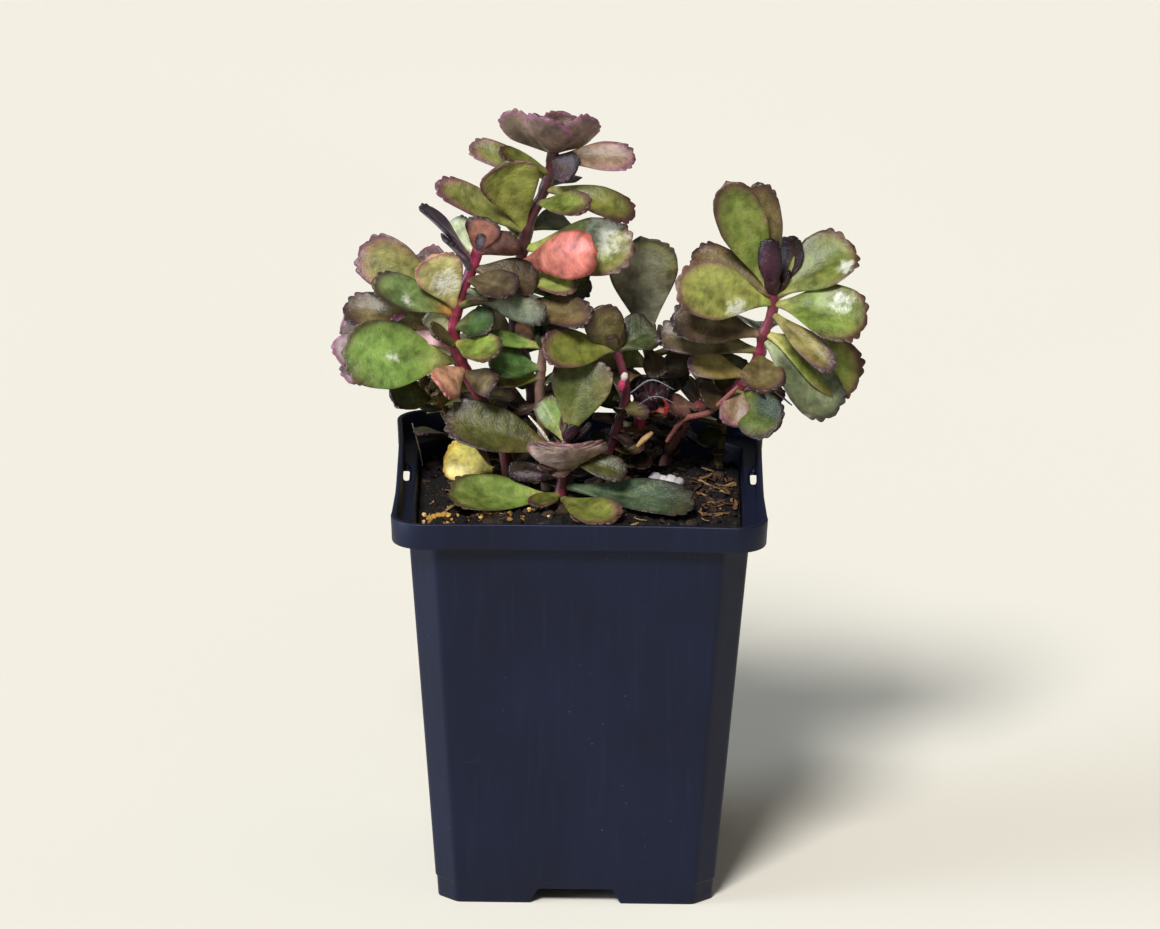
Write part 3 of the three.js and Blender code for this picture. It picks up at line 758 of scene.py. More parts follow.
@dataclass(frozen=True)
class Leaf:
    """A fleshy wedge-shaped leaf that ends in rounded teeth.

    share is how far up its stem it grows, and widest is how far along it is widest. The glint, if given, is a
    painted highlight: how far along, how far across, and its radius in mm.
    """

    share: float
    tip: Point
    width: float
    facing: Facing
    tone: Tone
    arch: float = 0.04
    teeth: float = 1.0
    # A painted highlight on the upper side, if any: how far along, how far across, and its radius in mm.
    wet: Point | None = None
    widest: float = 0.68

    ROOT_HALF = 0.8
    CUP = 0.3
    THICK = 1.7
    THINNING = 0.35
    BLUNT = 0.76
    RIB_SHARE = 0.94
    TIP_PAST = 0.05
    GROOVE = 0.16
    GROOVE_WIDTH = 0.14
    RIB_WIDTH = 0.07
    TOOTH = 0.07
    TOOTH_MIDDLE = 0.98
    RIM_FADE = 0.9
    WEDGE_ROWS = 13
    END_ROWS = 33
    TOP = 15

    def blade(self, root: Array, lead: Array, seed: int) -> Surface:
        """Carry a lens section along an arched rib, a quadratic arc from the root over a crest to the tip.

        Args:
            root: Where it leaves the stem.
            lead: The stem's direction there, which an INWARD leaf looks along.
            seed: Picks its small irregularities.

        Returns:
            The closed blade with its colour marks.
        """
        draw = np.random.default_rng(seed)
        end = np.array(self.tip, float)
        length = float(np.linalg.norm(end - root))
        ahead = (end - root) / length
        hint = lead if self.facing is Facing.INWARD else np.array(self.facing.value)
        face = unit(hint - (hint @ ahead) * ahead)
        side = np.cross(ahead, face)
        crest = (root + end) / 2 + face * 2 * self.arch * length

        across = np.sin(np.linspace(-math.pi / 2, math.pi / 2, self.TOP))
        s = np.concatenate([across, across[-2:0:-1]])[None, :]
        top = np.concatenate([np.ones(self.TOP), -np.ones(self.TOP - 2)])[None, :]
        rib, along, half = self._outline(s, draw)
        t = rib[:, None] + (along - rib[:, None]) * np.abs(s)
        lean = draw.uniform(-0.08, 0.08)
        lateral = half * s * (1 + lean * np.sign(s) * ease(along, 0.2, 0.6))
        height = self._heights(s, top, rib, half, draw)

        tangent = unit((1 - rib)[:, None] * (crest - root) + rib[:, None] * (end - crest))
        normal = unit(np.cross(side, tangent))
        twist = draw.uniform(-0.1, 0.1) * ease(rib, 0.1, 0.9)[:, None]
        aside = side * np.cos(twist) + normal * np.sin(twist)
        upward = normal * np.cos(twist) - side * np.sin(twist)
        rings = arc(t, root, crest, end) + lateral[..., None] * aside[:, None] + height[..., None] * upward[:, None]
        marks = self._marks(t, lateral, top * np.cos(np.arcsin(np.clip(s, -1, 1))), length, draw)
        return ringed(rings, root, arc(rib[-1] + self.TIP_PAST, root, crest, end), marks)

    def _outline(self, s: Array, draw: np.random.Generator) -> tuple[Array, Array, Array]:
        """Lay out the blade's rows.

        The half width rises as a smooth step up to widest and then follows a blunt quarter oval, sin^0.76 by
        cos^0.76, times the teeth.

        Args:
            s: How far across each point of a row is, from -1 to 1.
            draw: The leaf's own random numbers.

        Returns:
            How far along the rib each row stands, how far along its rim reaches on each side, and its half width.
        """
        wedge = np.linspace(0.0, self.widest, self.WEDGE_ROWS, endpoint=False)
        turned = np.arange(self.END_ROWS) / self.END_ROWS
        right, left = (self._teeth(turned, draw)[:, None] for _ in range(2))
        tooth = np.where(s > 0, right, left)
        level = np.ones_like(s)
        reach = (1 - self.widest) * np.sin(turned * math.pi / 2) ** self.BLUNT
        rib = np.concatenate([wedge, self.widest + reach * self.RIB_SHARE])
        along = np.concatenate([wedge[:, None] * level, self.widest + reach[:, None] * tooth])
        round_end = (np.cos(turned * math.pi / 2) ** self.BLUNT)[:, None] * tooth
        half = np.concatenate([ease(wedge, 0, self.widest)[:, None] * level, round_end])
        return rib, along, self.ROOT_HALF + (self.width / 2 - self.ROOT_HALF) * half

    def _heights(self, s: Array, top: Array, rib: Array, half: Array, draw: np.random.Generator) -> Array:
        """Give the section's height over the rib, in mm.

        It is cup * |s|^1.6 +- thickness * sqrt(1 - |s|^2.6), less a groove along the rib, plus a slow wave along
        the rims.

        Args:
            s: How far across each point of a row is, from -1 to 1.
            top: 1 on the upper side and -1 below.
            rib: How far along the rib each row stands.
            half: The half width at each point.
            draw: The leaf's own random numbers.

        Returns:
            The heights.
        """
        out = np.abs(s)
        body = ease(rib, 0.1, 0.35) * (1 - ease(rib, 0.8, 0.97))
        wave = np.sin(rib * draw.uniform(7, 11) + draw.uniform(0, 6)) * draw.uniform(0.03, 0.1)
        lift = self.CUP * (half - self.ROOT_HALF) * out**1.6
        lift = lift + (wave * body)[:, None] * half * out**2 * np.where(s > 0, 1.0, draw.uniform(-1, 1))
        thick = self.THICK / 2 * (1 - self.THINNING * rib)[:, None] * np.sqrt(np.clip(1 - out**2.6, 0, 1))
        groove = self.GROOVE * np.exp(-((s / self.GROOVE_WIDTH) ** 2)) * body[:, None] * (top > 0)
        return lift + thick * top - groove

    def _teeth(self, turned: Array, draw: np.random.Generator) -> Array:
        """Give one side's rim as a share of its plain radius.

        The share is 0.98 + 0.07 * (2 |cos(pi n (1 - q))|^0.7 - 1), with n from the leaf's width, a tooth at the
        tip, uneven heights, and no teeth where the rim starts to turn.

        Args:
            turned: The share q of the quarter turn from the widest place to the tip.
            draw: The leaf's own random numbers.

        Returns:
            One share of the radius for each q.
        """
        count = (2.5 + 0.1 * self.width) * draw.uniform(0.85, 1.15)
        swing = 2 * np.abs(np.cos(math.pi * count * (1 - turned))) ** 0.7 - 1
        uneven = 1 + 0.4 * np.sin(turned * draw.uniform(5, 12) + draw.uniform(0, 6)) * (1 - turned)
        return self.TOOTH_MIDDLE + self.TOOTH * swing * uneven * self.teeth * ease(turned, 0.2, 0.5)

    def _marks(
        self, t: Array, lateral: Array, top: Array, length: float, draw: np.random.Generator
    ) -> dict[str, Array]:
        """Colour the blade.

        Stalk turns to blade and blade to end along the leaf, and the underside shows below. The edge mark is
        exp(-distance to the rim / 0.9 mm). The rim is a quarter circle past widest, and the wedge's side before it.

        Args:
            t: How far along each point is, from 0 to 1.
            lateral: How far to the side, in mm.
            top: 1 on the upper side, -1 below and 0 at the rim.
            length: The leaf's length in mm.
            draw: The leaf's own random numbers.

        Returns:
            The marks tint, rim, edge, rib and the painted glint.
        """
        stalk, blade, end, rim, under = self.tone.hues
        half = self.width / 2
        reach = np.hypot(np.clip(t - self.widest, 0, 1) / (1 - self.widest), lateral / half)
        wedge = self.ROOT_HALF + (half - self.ROOT_HALF) * ease(t, 0, self.widest)
        gap = np.clip(np.where(t > self.widest, (1 - reach) * half, wedge - np.abs(lateral)), 0, None)
        upper = top > 0
        hue = stalk + (blade - stalk) * ease(t, 0.08, 0.36)[..., None]
        hue = hue + (end - hue) * (0.85 * ease(reach, 0.45, 1.0) * ease(t, 0.4, 0.8))[..., None]
        hue = hue + (under - hue) * (1 - ease(top, -0.25, 0.2))[..., None]
        hue = hue * np.append(draw.uniform(0.88, 1.12) * (1 + draw.uniform(-0.06, 0.06, 3)), 1.0)
        # Paint a glint of light: a soft round spot on the upper side.
        wet = np.zeros(t.shape)
        if self.wet:
            ahead, aside, size = self.wet
            far = np.hypot((t - ahead) * length, lateral - aside * half) / size
            wet = np.exp(-(far**2)) * upper
        # The midrib line, which the skin paints as a faint highlight.
        rib = np.exp(-((lateral / half / self.RIB_WIDTH) ** 2)) * ease(t, 0.1, 0.3) * (1 - ease(t, 0.6, 0.9))
        return {
            "tint": hue,
            "rim": np.broadcast_to(rim, (*t.shape, 4)).copy(),
            "edge": np.exp(-gap / self.RIM_FADE) * ease(t, 0.3, 0.65),
            "rib": rib * upper,
            "wet": wet,
        }


@dataclass(frozen=True)
class DriedLeaf(Leaf):
    """A small withered leaf, curled hard, with fewer faces because there are many."""

    WEDGE_ROWS = 6
    END_ROWS = 13
    TOP = 9
    THICK = 0.9
    CUP = 0.55


@dataclass(frozen=True)
class Stalk:
    """A fleshy stem with a swelling and a scar where each leaf grows.

    The section is a circle of five faint ridges, radius * (1 + 0.035 cos 5a), thicker at each leaf by
    0.2 exp(-(distance / 1.1 mm)^2) and thinner by a quarter towards the tip, where it rounds off.
    """

    curve: Curve
    radius: float
    nodes: tuple[float, ...]
    hues: tuple[str, ...]

    SIDES = 16
    STEP = 0.75
    RIDGE = 0.035
    SWELL = 0.2
    SWELL_REACH = 1.1
    SCAR_REACH = 0.5
    TAPER = 0.25
    ROUNDING = 2.2
    SCAR_SHADE = np.array([0.45, 0.4, 0.4, 1.0])

    def tube(self) -> Surface:
        """Carry the section along the stem.

        Returns:
            The closed stem with its colour marks.
        """
        share = np.linspace(0, 1, max(8, int(self.curve.length / self.STEP)))
        centre, heading = self.curve.at(share), self.curve.heading(share)
        aside, across = beside(heading)
        turn = angles(self.SIDES)
        near = (share[:, None] - np.array(self.nodes)) * self.curve.length
        swell = np.clip(np.exp(-((near / self.SWELL_REACH) ** 2)).sum(1), 0, 1.3)
        tip = np.sqrt(np.clip(1 - ease(share, 1 - self.ROUNDING / self.curve.length, 1.02) ** 2, 0.05, 1))
        thick = self.radius * (1 - self.TAPER * ease(share, 0.5, 1)) * (1 + self.SWELL * swell) * tip
        ridge = 1 + self.RIDGE * np.cos(5 * turn[None, :] + 9 * share[:, None])
        out = np.cos(turn)[None, :, None] * aside[:, None] + np.sin(turn)[None, :, None] * across[:, None]
        rings = centre[:, None] + out * (thick[:, None] * ridge)[..., None]
        hues = np.array([opaque(code) for code in self.hues])
        stops = np.linspace(0, 1, len(hues))
        hue = np.stack([np.interp(share, stops, hues[:, channel]) for channel in range(4)], -1)
        shape = rings.shape[:2]
        hue = np.broadcast_to(hue[:, None], (*shape, 4))
        scar = np.exp(-((near / self.SCAR_REACH) ** 2)).sum(1).clip(0, 1)
        marks = {
            "tint": hue.copy(),
            "rim": hue * self.SCAR_SHADE,
            "edge": np.broadcast_to(scar[:, None], shape).copy(),
        }
        return ringed(rings, centre[0], centre[-1] + heading[-1] * 0.1, marks, finish=1)


@dataclass(frozen=True)
class Branch:
    """A side stem that leaves its shoot at a share of the main stem."""

    radius: float
    start: float
    stem: tuple[Point, ...]
    leaves: tuple[Leaf, ...]


@dataclass(frozen=True)
class Shoot:
    """A leafy stem that stands in the soil, with its side branch if it has one."""

    node: str
    slot: str
    radius: float
    foot: tuple[float, float]
    stem: tuple[Point, ...]
    hues: tuple[str, ...]
    leaves: tuple[Leaf, ...]
    branch: Branch | None = None
    bud: Tone | None = None
    litter: int = 0

    LITTER_TONES = (
        Tone.DRIED, Tone.BROWN, Tone.MAROON, Tone.DRIED, Tone.OLIVE_BROWN, Tone.DARK_OLIVE, Tone.RUST,
    )
    LITTER_SEED = 2000
    LITTER_FLOOR = 92.5
    RIM_CLEAR = 103.0
    INSIDE = 34.0
    RISES = (-11.0, -5.5, 2.0)
    BUD_SEED = 900
    BUD_LEAVES = 7
    GOLDEN_ANGLE = math.radians(137.5)

    def build(self, skins: list[bpy.types.Material]) -> bpy.types.Object:
        """Grow the shoot.

        Args:
            skins: The leaf finish and the stem finish.

        Returns:
            The finished object.
        """
        buried = [(*self.foot, SOIL_EDGE + rise) for rise in self.RISES]
        curve = Curve(np.array([*buried, *self.stem], float))
        piece = Piece(f"{self.node}_leaves", self.slot, skins, (self.node,))
        self._dress(piece, curve, self.radius, self.leaves)
        if self.bud:
            piece.add(*self._young(curve))
        piece.add(*self._withered(curve))
        if self.branch:
            start = curve.at(self.branch.start)
            side = Curve(np.vstack([start, np.array(self.branch.stem, float)]))
            self._dress(piece, side, self.branch.radius, self.branch.leaves)
        return piece.build()

    def _dress(self, piece: Piece, curve: Curve, radius: float, leaves: tuple[Leaf, ...]) -> None:
        """Add one stem and its leaves to the shoot's piece.

        Args:
            piece: The shoot's piece.
            curve: The stem's middle line.
            radius: The stem's radius.
            leaves: What grows on it.
        """
        piece.add(Stalk(curve, radius, tuple(leaf.share for leaf in leaves), self.hues).tube())
        for index, leaf in enumerate(leaves):
            seed = sum(map(ord, self.node)) * 100 + index
            piece.add(leaf.blade(curve.at(leaf.share), curve.heading(leaf.share), seed))

    def _withered(self, curve: Curve) -> list[Surface]:
        """Hang curled dry leaves round the lower stem, at random heights and turns.

        Each runs 4.5 to 10 mm outwards from the stem, up by 0.6 of that at most or down by 0.3, and stays inside
        the pot while it is low.

        Args:
            curve: The stem's middle line.

        Returns:
            The dry leaves.
        """
        draw = np.random.default_rng(sum(map(ord, self.node)))
        blades = []
        for index in range(self.litter):
            share = draw.uniform(14.0 / curve.length, min(0.92, 42.0 / curve.length))
            root, turn, size = curve.at(share), draw.uniform(0, 2 * math.pi), draw.uniform(4.5, 10)
            tip = root + size * np.array([math.cos(turn), math.sin(turn), draw.uniform(-0.3, 0.6)])
            tip[2] = max(tip[2], self.LITTER_FLOOR)
            if tip[2] < self.RIM_CLEAR:
                tip[:2] = np.clip(tip[:2], -self.INSIDE, self.INSIDE)
            tone, width = pick(draw, self.LITTER_TONES), draw.uniform(3, 6)
            leaf = DriedLeaf(share, tuple(tip), width, Facing.UP_FORWARD, tone, arch=draw.uniform(-0.3, 0.3))
            blades.append(leaf.blade(root, curve.heading(share), self.LITTER_SEED + index))
        return blades

    def _young(self, curve: Curve) -> list[Surface]:
        """Set a whorl of folded young leaves on the tip, each a golden angle round from the last and smaller.

        Args:
            curve: The stem's middle line.

        Returns:
            The young leaves.
        """
        top, up = curve.at(1.0), curve.heading(1.0)
        aside, across = beside(up)
        blades = []
        for index in range(self.BUD_LEAVES):
            turn = index * self.GOLDEN_ANGLE
            size = 6.2 - 0.55 * index
            out = math.cos(turn) * aside + math.sin(turn) * across
            tip = top + out * size * (0.62 - 0.05 * index) + up * size * 0.8
            leaf = Leaf(1.0, tuple(tip), 3.6 - 0.2 * index, Facing.INWARD, self.bud, arch=-0.12)
            blades.append(leaf.blade(top - up * 0.8, up, self.BUD_SEED + index))
        return blades


# Pot and soil


def soil_height(x: Array | float, y: Array | float) -> Array:
    """Give the height of the soil's top: a low mound with two grids of waves, all in mm.

    The height is edge + mound * (1 - reach^2) + 0.55 cos(0.57 x) cos(0.57 y)
    + 0.33 sin(1.2 (x - y)) cos(1.2 (x + y)), where reach is the larger of |x| and |y| as a share of 39 mm, and
    1 at most.

    Args:
        x: How far to the right of the pot's middle.
        y: How far behind it.

    Returns:
        The heights above the ground.
    """
    reach = np.clip(np.maximum(np.abs(x), np.abs(y)) / SOIL_REACH, 0, 1)
    coarse = COARSE_HEIGHT * np.cos(COARSE_WAVE * x) * np.cos(COARSE_WAVE * y)
    fine = FINE_HEIGHT * np.sin(FINE_WAVE * (x - y)) * np.cos(FINE_WAVE * (x + y))
    return SOIL_EDGE + SOIL_MOUND * (1 - reach**2) + coarse + fine


@dataclass(frozen=True)
class NurseryPot:
    """A square tapered pot in mm: a notched foot band, cut corners, and a collar rim over a ledge.

    SIDE holds the places of the points along half a side, as shares of SIDE_SPAN. The notch is set by NOTCH_LIFT,
    its heights at the distances NOTCH_ASIDE from the middle of a side.
    """

    rim_width: float = 90.0
    height: float = 100.0
    rim_band: float = 6.5
    wall: float = 1.2
    rim_corner: float = 8.0
    rim_bow: float = 0.8
    top_width: float = 81.4
    base_width: float = 66.8
    cut_top: float = 6.2
    cut_base: float = 4.8
    foot_height: float = 5.2
    foot_inset: float = 0.3
    floor_underside: float = 3.9
    floor_top: float = 5.1
    pad_radius: float = 8.0
    fillet: float = 0.9

    SIDE = np.array([-0.82, -0.6, -0.4, -0.33, -0.32, -0.29, -0.268, -0.25, -0.13, 0.0])
    SIDE_SPAN = 33.5
    SIDE_END = 0.93
    CORNER = 13
    BEND = 5
    NOTCH_ASIDE = (0.0, 8.6, 9.0, 9.4, 9.6, 11.0)
    NOTCH_LIFT = (3.7, 3.7, 3.6, 3.2, 2.7, 0.0)
    FLOOR_RADII = (15.0, 23.0)
    DRAIN_COUNT, DRAIN_RADIUS, DRAIN_CIRCLE = 8, 3.0, 19.0
    POST_SIDES = 24
    SLOT_HALF = (0.9, 5.5)
    SLOT_BACK = 10.0
    SLOT_ROUNDING = 0.35

    @property
    def ledge(self) -> float:
        """The height of the ledge's underside."""
        return self.height - self.rim_band

    def body(self, z: float, inset: float) -> Array:
        """Give the wall's section at one height, a square with its corners cut and the cuts' ends rounded.

        Its width and its cuts grow in a line from the foot to the ledge.

        Args:
            z: The height.
            inset: How far inside the outer wall the section runs.

        Returns:
            The ring's points.
        """
        half = (self.base_width + (self.top_width - self.base_width) * z / self.ledge) / 2 - inset
        cut = self.cut_base + (self.cut_top - self.cut_base) * z / self.ledge - (2 - math.sqrt(2)) * inset
        share = np.linspace(0, 1, self.BEND)
        soft = min(self.fillet, cut * 0.3)
        first = (half, half - cut)
        before, beyond = (half, half - cut - soft), (half - soft * 0.7, half - cut + soft * 0.7)
        bend = arc(share, np.array(before), np.array(first), np.array(beyond))
        middle = np.linspace(bend[-1], bend[-1][::-1], self.BEND)[1:-1]
        return self._square(half - cut - soft, half, 0.0, np.vstack([bend, middle, bend[::-1, ::-1]]), z)

    def rim(self, z: float, inset: float) -> Array:
        """Give the rim's section, a square with round corners whose sides are drawn in at their middles.

        Args:
            z: The height.
            inset: How far inside the rim's outside the section runs.

        Returns:
            The ring's points.
        """
        half, corner = self.rim_width / 2 - inset, self.rim_corner - inset
        turn = np.linspace(0, math.pi / 2, self.CORNER)
        bend = half - corner + corner * np.stack([np.cos(turn), np.sin(turn)], -1)
        return self._square(half - corner, half, self.rim_bow, bend, z)

    def _square(self, flat: float, half: float, bow: float, corner: Array, z: float) -> Array:
        """Turn one side and one corner round the four quarters.

        Args:
            flat: How far the straight side runs either way from its middle.
            half: Half the width.
            bow: How far the middle of a side is drawn in. It falls to nothing as the fourth power of the way out.
            corner: The corner's points, anticlockwise.
            z: The height.

        Returns:
            The ring's points.
        """
        along = np.concatenate([self.SIDE, -self.SIDE[-2::-1]]) * self.SIDE_SPAN
        along[[0, -1]] = -self.SIDE_END * flat, self.SIDE_END * flat
        side = np.stack([half - bow * (1 - (along / flat) ** 4), along], -1)
        quarter = np.vstack([side, corner])
        turns = [quarter @ np.array([[c, s], [-s, c]]) for c, s in ((1, 0), (0, 1), (-1, 0), (0, -1))]
        flat_ring = np.vstack(turns)
        return np.column_stack([flat_ring, np.full(len(flat_ring), z)])

    def notched(self, ring: Array) -> Array:
        """Raise a foot ring to the notch in the middle of each side.

        The height is 0 past 11 mm from the middle, rises in a line to 2.7 at 9.6 mm, and rounds over to 3.7 at 8.6.

        Args:
            ring: The foot's points.

        Returns:
            The ring with its points lifted.
        """
        aside = np.minimum(np.abs(ring[:, 0]), np.abs(ring[:, 1]))
        lift = np.interp(aside, self.NOTCH_ASIDE, self.NOTCH_LIFT)
        raised = ring.copy()
        raised[:, 2] = np.maximum(ring[:, 2], lift)
        return raised

    def circle(self, like: Array, radius: float, z: float) -> Array:
        """Give a circle whose points lie in the same directions as a ring's."""
        flat = unit(like[:, :2]) * radius
        return np.column_stack([flat, np.full(len(flat), z)])

    def shell(self) -> Surface:
        """Carry the section from under the floor, round the foot, up the wall, over the rim and down inside.

        Returns:
            The closed pot, before its holes are cut.
        """
        foot = self.wall + self.foot_inset
        base = self.body(0.0, foot)
        under, ledge, top = self.floor_underside, self.ledge, self.height
        wall, inner_ledge = self.wall, self.ledge + self.wall
        outer_rim = [(ledge, 0.75), (ledge + 0.1, 0.42), (ledge + 0.4, 0.3), (ledge + 3, 0.2)]
        outer_rim += [(top - 0.35, 0.02), (top - 0.1, 0.1), (top, 0.32)]
        inner_rim = [(top, wall - 0.3), (top - 0.1, wall - 0.08), (top - 0.35, wall)]
        inner_rim += [(inner_ledge + 0.5, wall + 0.25), (inner_ledge + 0.1, wall + 0.45)]
        inner_rim += [(inner_ledge, wall + 0.8)]
        rings = [
            self.circle(base, self.pad_radius - 0.4, 0.0),
            self.circle(base, self.pad_radius, 0.3),
            self.circle(base, self.pad_radius + 0.9, under - 0.3),
            self.circle(base, self.pad_radius + 1.4, under),
            *[self.circle(base, radius, under) for radius in self.FLOOR_RADII],
            self.body(under, foot + 0.5),
            self.body(under - 0.1, foot + 0.1),
            self.notched(self.body(2.0, foot)),
            self.notched(self.body(0.25, foot)),
            self.notched(self.body(0.0, foot - 0.2)),
            self.notched(self.body(0.0, self.foot_inset + 0.2)),
            self.notched(self.body(0.25, self.foot_inset)),
            self.notched(self.body(2.0, self.foot_inset)),
            self.body(self.foot_height - 0.15, self.foot_inset),
            self.body(self.foot_height, self.foot_inset - 0.08),
            self.body(self.foot_height + 0.3, 0.02),
            *[self.body(z, 0.0) for z in np.linspace(self.foot_height + 0.6, ledge - 0.6, 12)],
            self.body(ledge - 0.15, -0.12),
            self.body(ledge, -0.5),
            *[self.rim(z, inset) for z, inset in outer_rim],
            *[self.rim(z, inset) for z, inset in inner_rim],
            self.body(inner_ledge, wall - 0.5),
            self.body(inner_ledge - 0.2, wall - 0.1),
            *[self.body(z, wall) for z in np.linspace(inner_ledge - 0.7, self.floor_top + 0.6, 9)],
            self.body(self.floor_top + 0.1, wall + 0.3),
            self.body(self.floor_top, wall + 0.8),
            *[self.circle(base, radius, self.floor_top) for radius in self.FLOOR_RADII[::-1]],
        ]
        return ringed(np.stack(rings), np.zeros(3), np.array([0.0, 0.0, self.floor_top]), {})

    def cutters(self) -> list[Surface]:
        """Give the posts that cut the ledge slots and the drain holes.

        Returns:
            Eight round posts through the floor and two long ones through the ledge beside the soil.
        """
        turn = angles(self.POST_SIDES)
        circle = np.stack([np.cos(turn), np.sin(turn)], -1)
        posts = []
        for index in range(self.DRAIN_COUNT):
            angle = (index + 0.5) * 2 * math.pi / self.DRAIN_COUNT
            centre = self.DRAIN_CIRCLE * np.array([math.cos(angle), math.sin(angle)])
            drain = centre + self.DRAIN_RADIUS * circle
            posts.append(self._post(drain, self.floor_underside - 1, self.floor_top + 1))
        squared = np.sign(circle) * np.abs(circle) ** self.SLOT_ROUNDING
        aside = (self.top_width / 2 + self.rim_width / 2 - self.wall) / 2
        for side in (-aside, aside):
            slot = np.array([side, self.SLOT_BACK]) + squared * np.array(self.SLOT_HALF)
            posts.append(self._post(slot, self.ledge - 1, self.ledge + 2 * self.wall))
        return posts

    def _post(self, outline: Array, low: float, high: float) -> Surface:
        """Stand a closed outline up between two heights.

        Args:
            outline: The outline's points, as x and y.
            low: The lower height.
            high: The upper height.

        Returns:
            The closed post.
        """
        rings = np.stack([np.column_stack([outline, np.full(len(outline), z)]) for z in (low, high)])
        middle = outline.mean(0)
        return ringed(rings, np.array([*middle, low]), np.array([*middle, high]), {})

    def build(self) -> bpy.types.Object:
        """Make the pot and cut its holes.

        Returns:
            The finished object.
        """
        finish = [PotPlastic().make()]
        piece = Piece("pot_moulded", "pot_plastic", finish, ("pot",), crease=50)
        piece.add(self.shell())
        pot = piece.build()
        tool = Piece("pot_hole_posts", "pot_plastic", finish)
        tool.add(*self.cutters())
        posts = tool.build()
        cut = pot.modifiers.new("holes", "BOOLEAN")
        cut.operation, cut.solver, cut.object = "DIFFERENCE", "EXACT", posts
        whole = bpy.data.meshes.new_from_object(pot.evaluated_get(bpy.context.evaluated_depsgraph_get()))
        pot.modifiers.remove(cut)
        pot.data = whole
        bpy.data.objects.remove(posts)
        return pot


@dataclass(frozen=True)
class Lump:
    """A small stone or crumb: a squashed sphere whose radius swells and shrinks by a quarter at random."""

    centre: Point
    radius: float
    seed: int
    squash: float = 0.8
    hue: str = "#808080"
    rows: int = 4
    around: int = 7

    SWELL = 0.28
    WAVELENGTH = 1.6

    def stone(self) -> Surface:
        """Work out the lump.

        Returns:
            The closed lump in its tint.
        """
        draw = np.random.default_rng(self.seed)
        up = np.linspace(0, math.pi, self.rows + 2)[1:-1, None]
        turn = angles(self.around)[None, :]
        ball = np.stack([np.sin(up) * np.cos(turn), np.sin(up) * np.sin(turn), -np.cos(up) + 0 * turn], -1)
        swell = 1 + self.SWELL * Bumps(self.seed, self.WAVELENGTH, 2, 5).at(ball)
        size = self.radius * np.array([*draw.uniform(0.8, 1.15, 2), self.squash])
        turn = draw.uniform(0, math.pi)
        cos, sin = math.cos(turn), math.sin(turn)
        spin = np.array([[cos, sin, 0], [-sin, cos, 0], [0, 0, 1]])
        middle, rise = np.array(self.centre), np.array([0, 0, size[2]])
        rings = (ball * swell[..., None] * size) @ spin + middle
        colour = opaque(self.hue) * np.append(np.full(3, draw.uniform(0.75, 1.2)), 1.0)
        return ringed(rings, middle - rise, middle + rise, plain(colour, rings.shape[:2]))


@dataclass(frozen=True)
class Fibre:
    """A thin bent splinter, root or straw: a flat oval carried along a smooth line and pinched at its ends.

    The half width is width / 2 * (0.35 + 0.65 sin(pi (0.12 + 0.76 q))) at the share q of the length. flat is its
    thickness as a share of its width.
    """

    line: tuple[Point, ...]
    width: float
    hue: str
    flat: float = 0.5

    RINGS = 12
    AROUND = 8
    LEAN = (0.13, 0.31, 0.94)

    def strand(self) -> Surface:
        """Work out the strand.

        Returns:
            The closed strand in its tint.
        """
        curve = Curve(np.array(self.line, float))
        share = np.linspace(0, 1, self.RINGS)
        centre, heading = curve.at(share), curve.heading(share)
        aside, across = beside(heading, self.LEAN)
        turn = angles(self.AROUND)
        thick = self.width / 2 * (0.35 + 0.65 * np.sin(math.pi * (0.12 + 0.76 * share)))
        wide, high = np.cos(turn)[None, :, None], self.flat * np.sin(turn)[None, :, None]
        rings = centre[:, None] + thick[:, None, None] * (wide * aside[:, None] + high * across[:, None])
        marks = plain(opaque(self.hue), rings.shape[:2])
        return ringed(rings, centre[0] - heading[0] * 0.1, centre[-1] + heading[-1] * 0.1, marks)


@dataclass(frozen=True)
class Chip(Fibre):
    """A splinter of bark, with few faces because there are hundreds."""

    RINGS = 6
    AROUND = 5


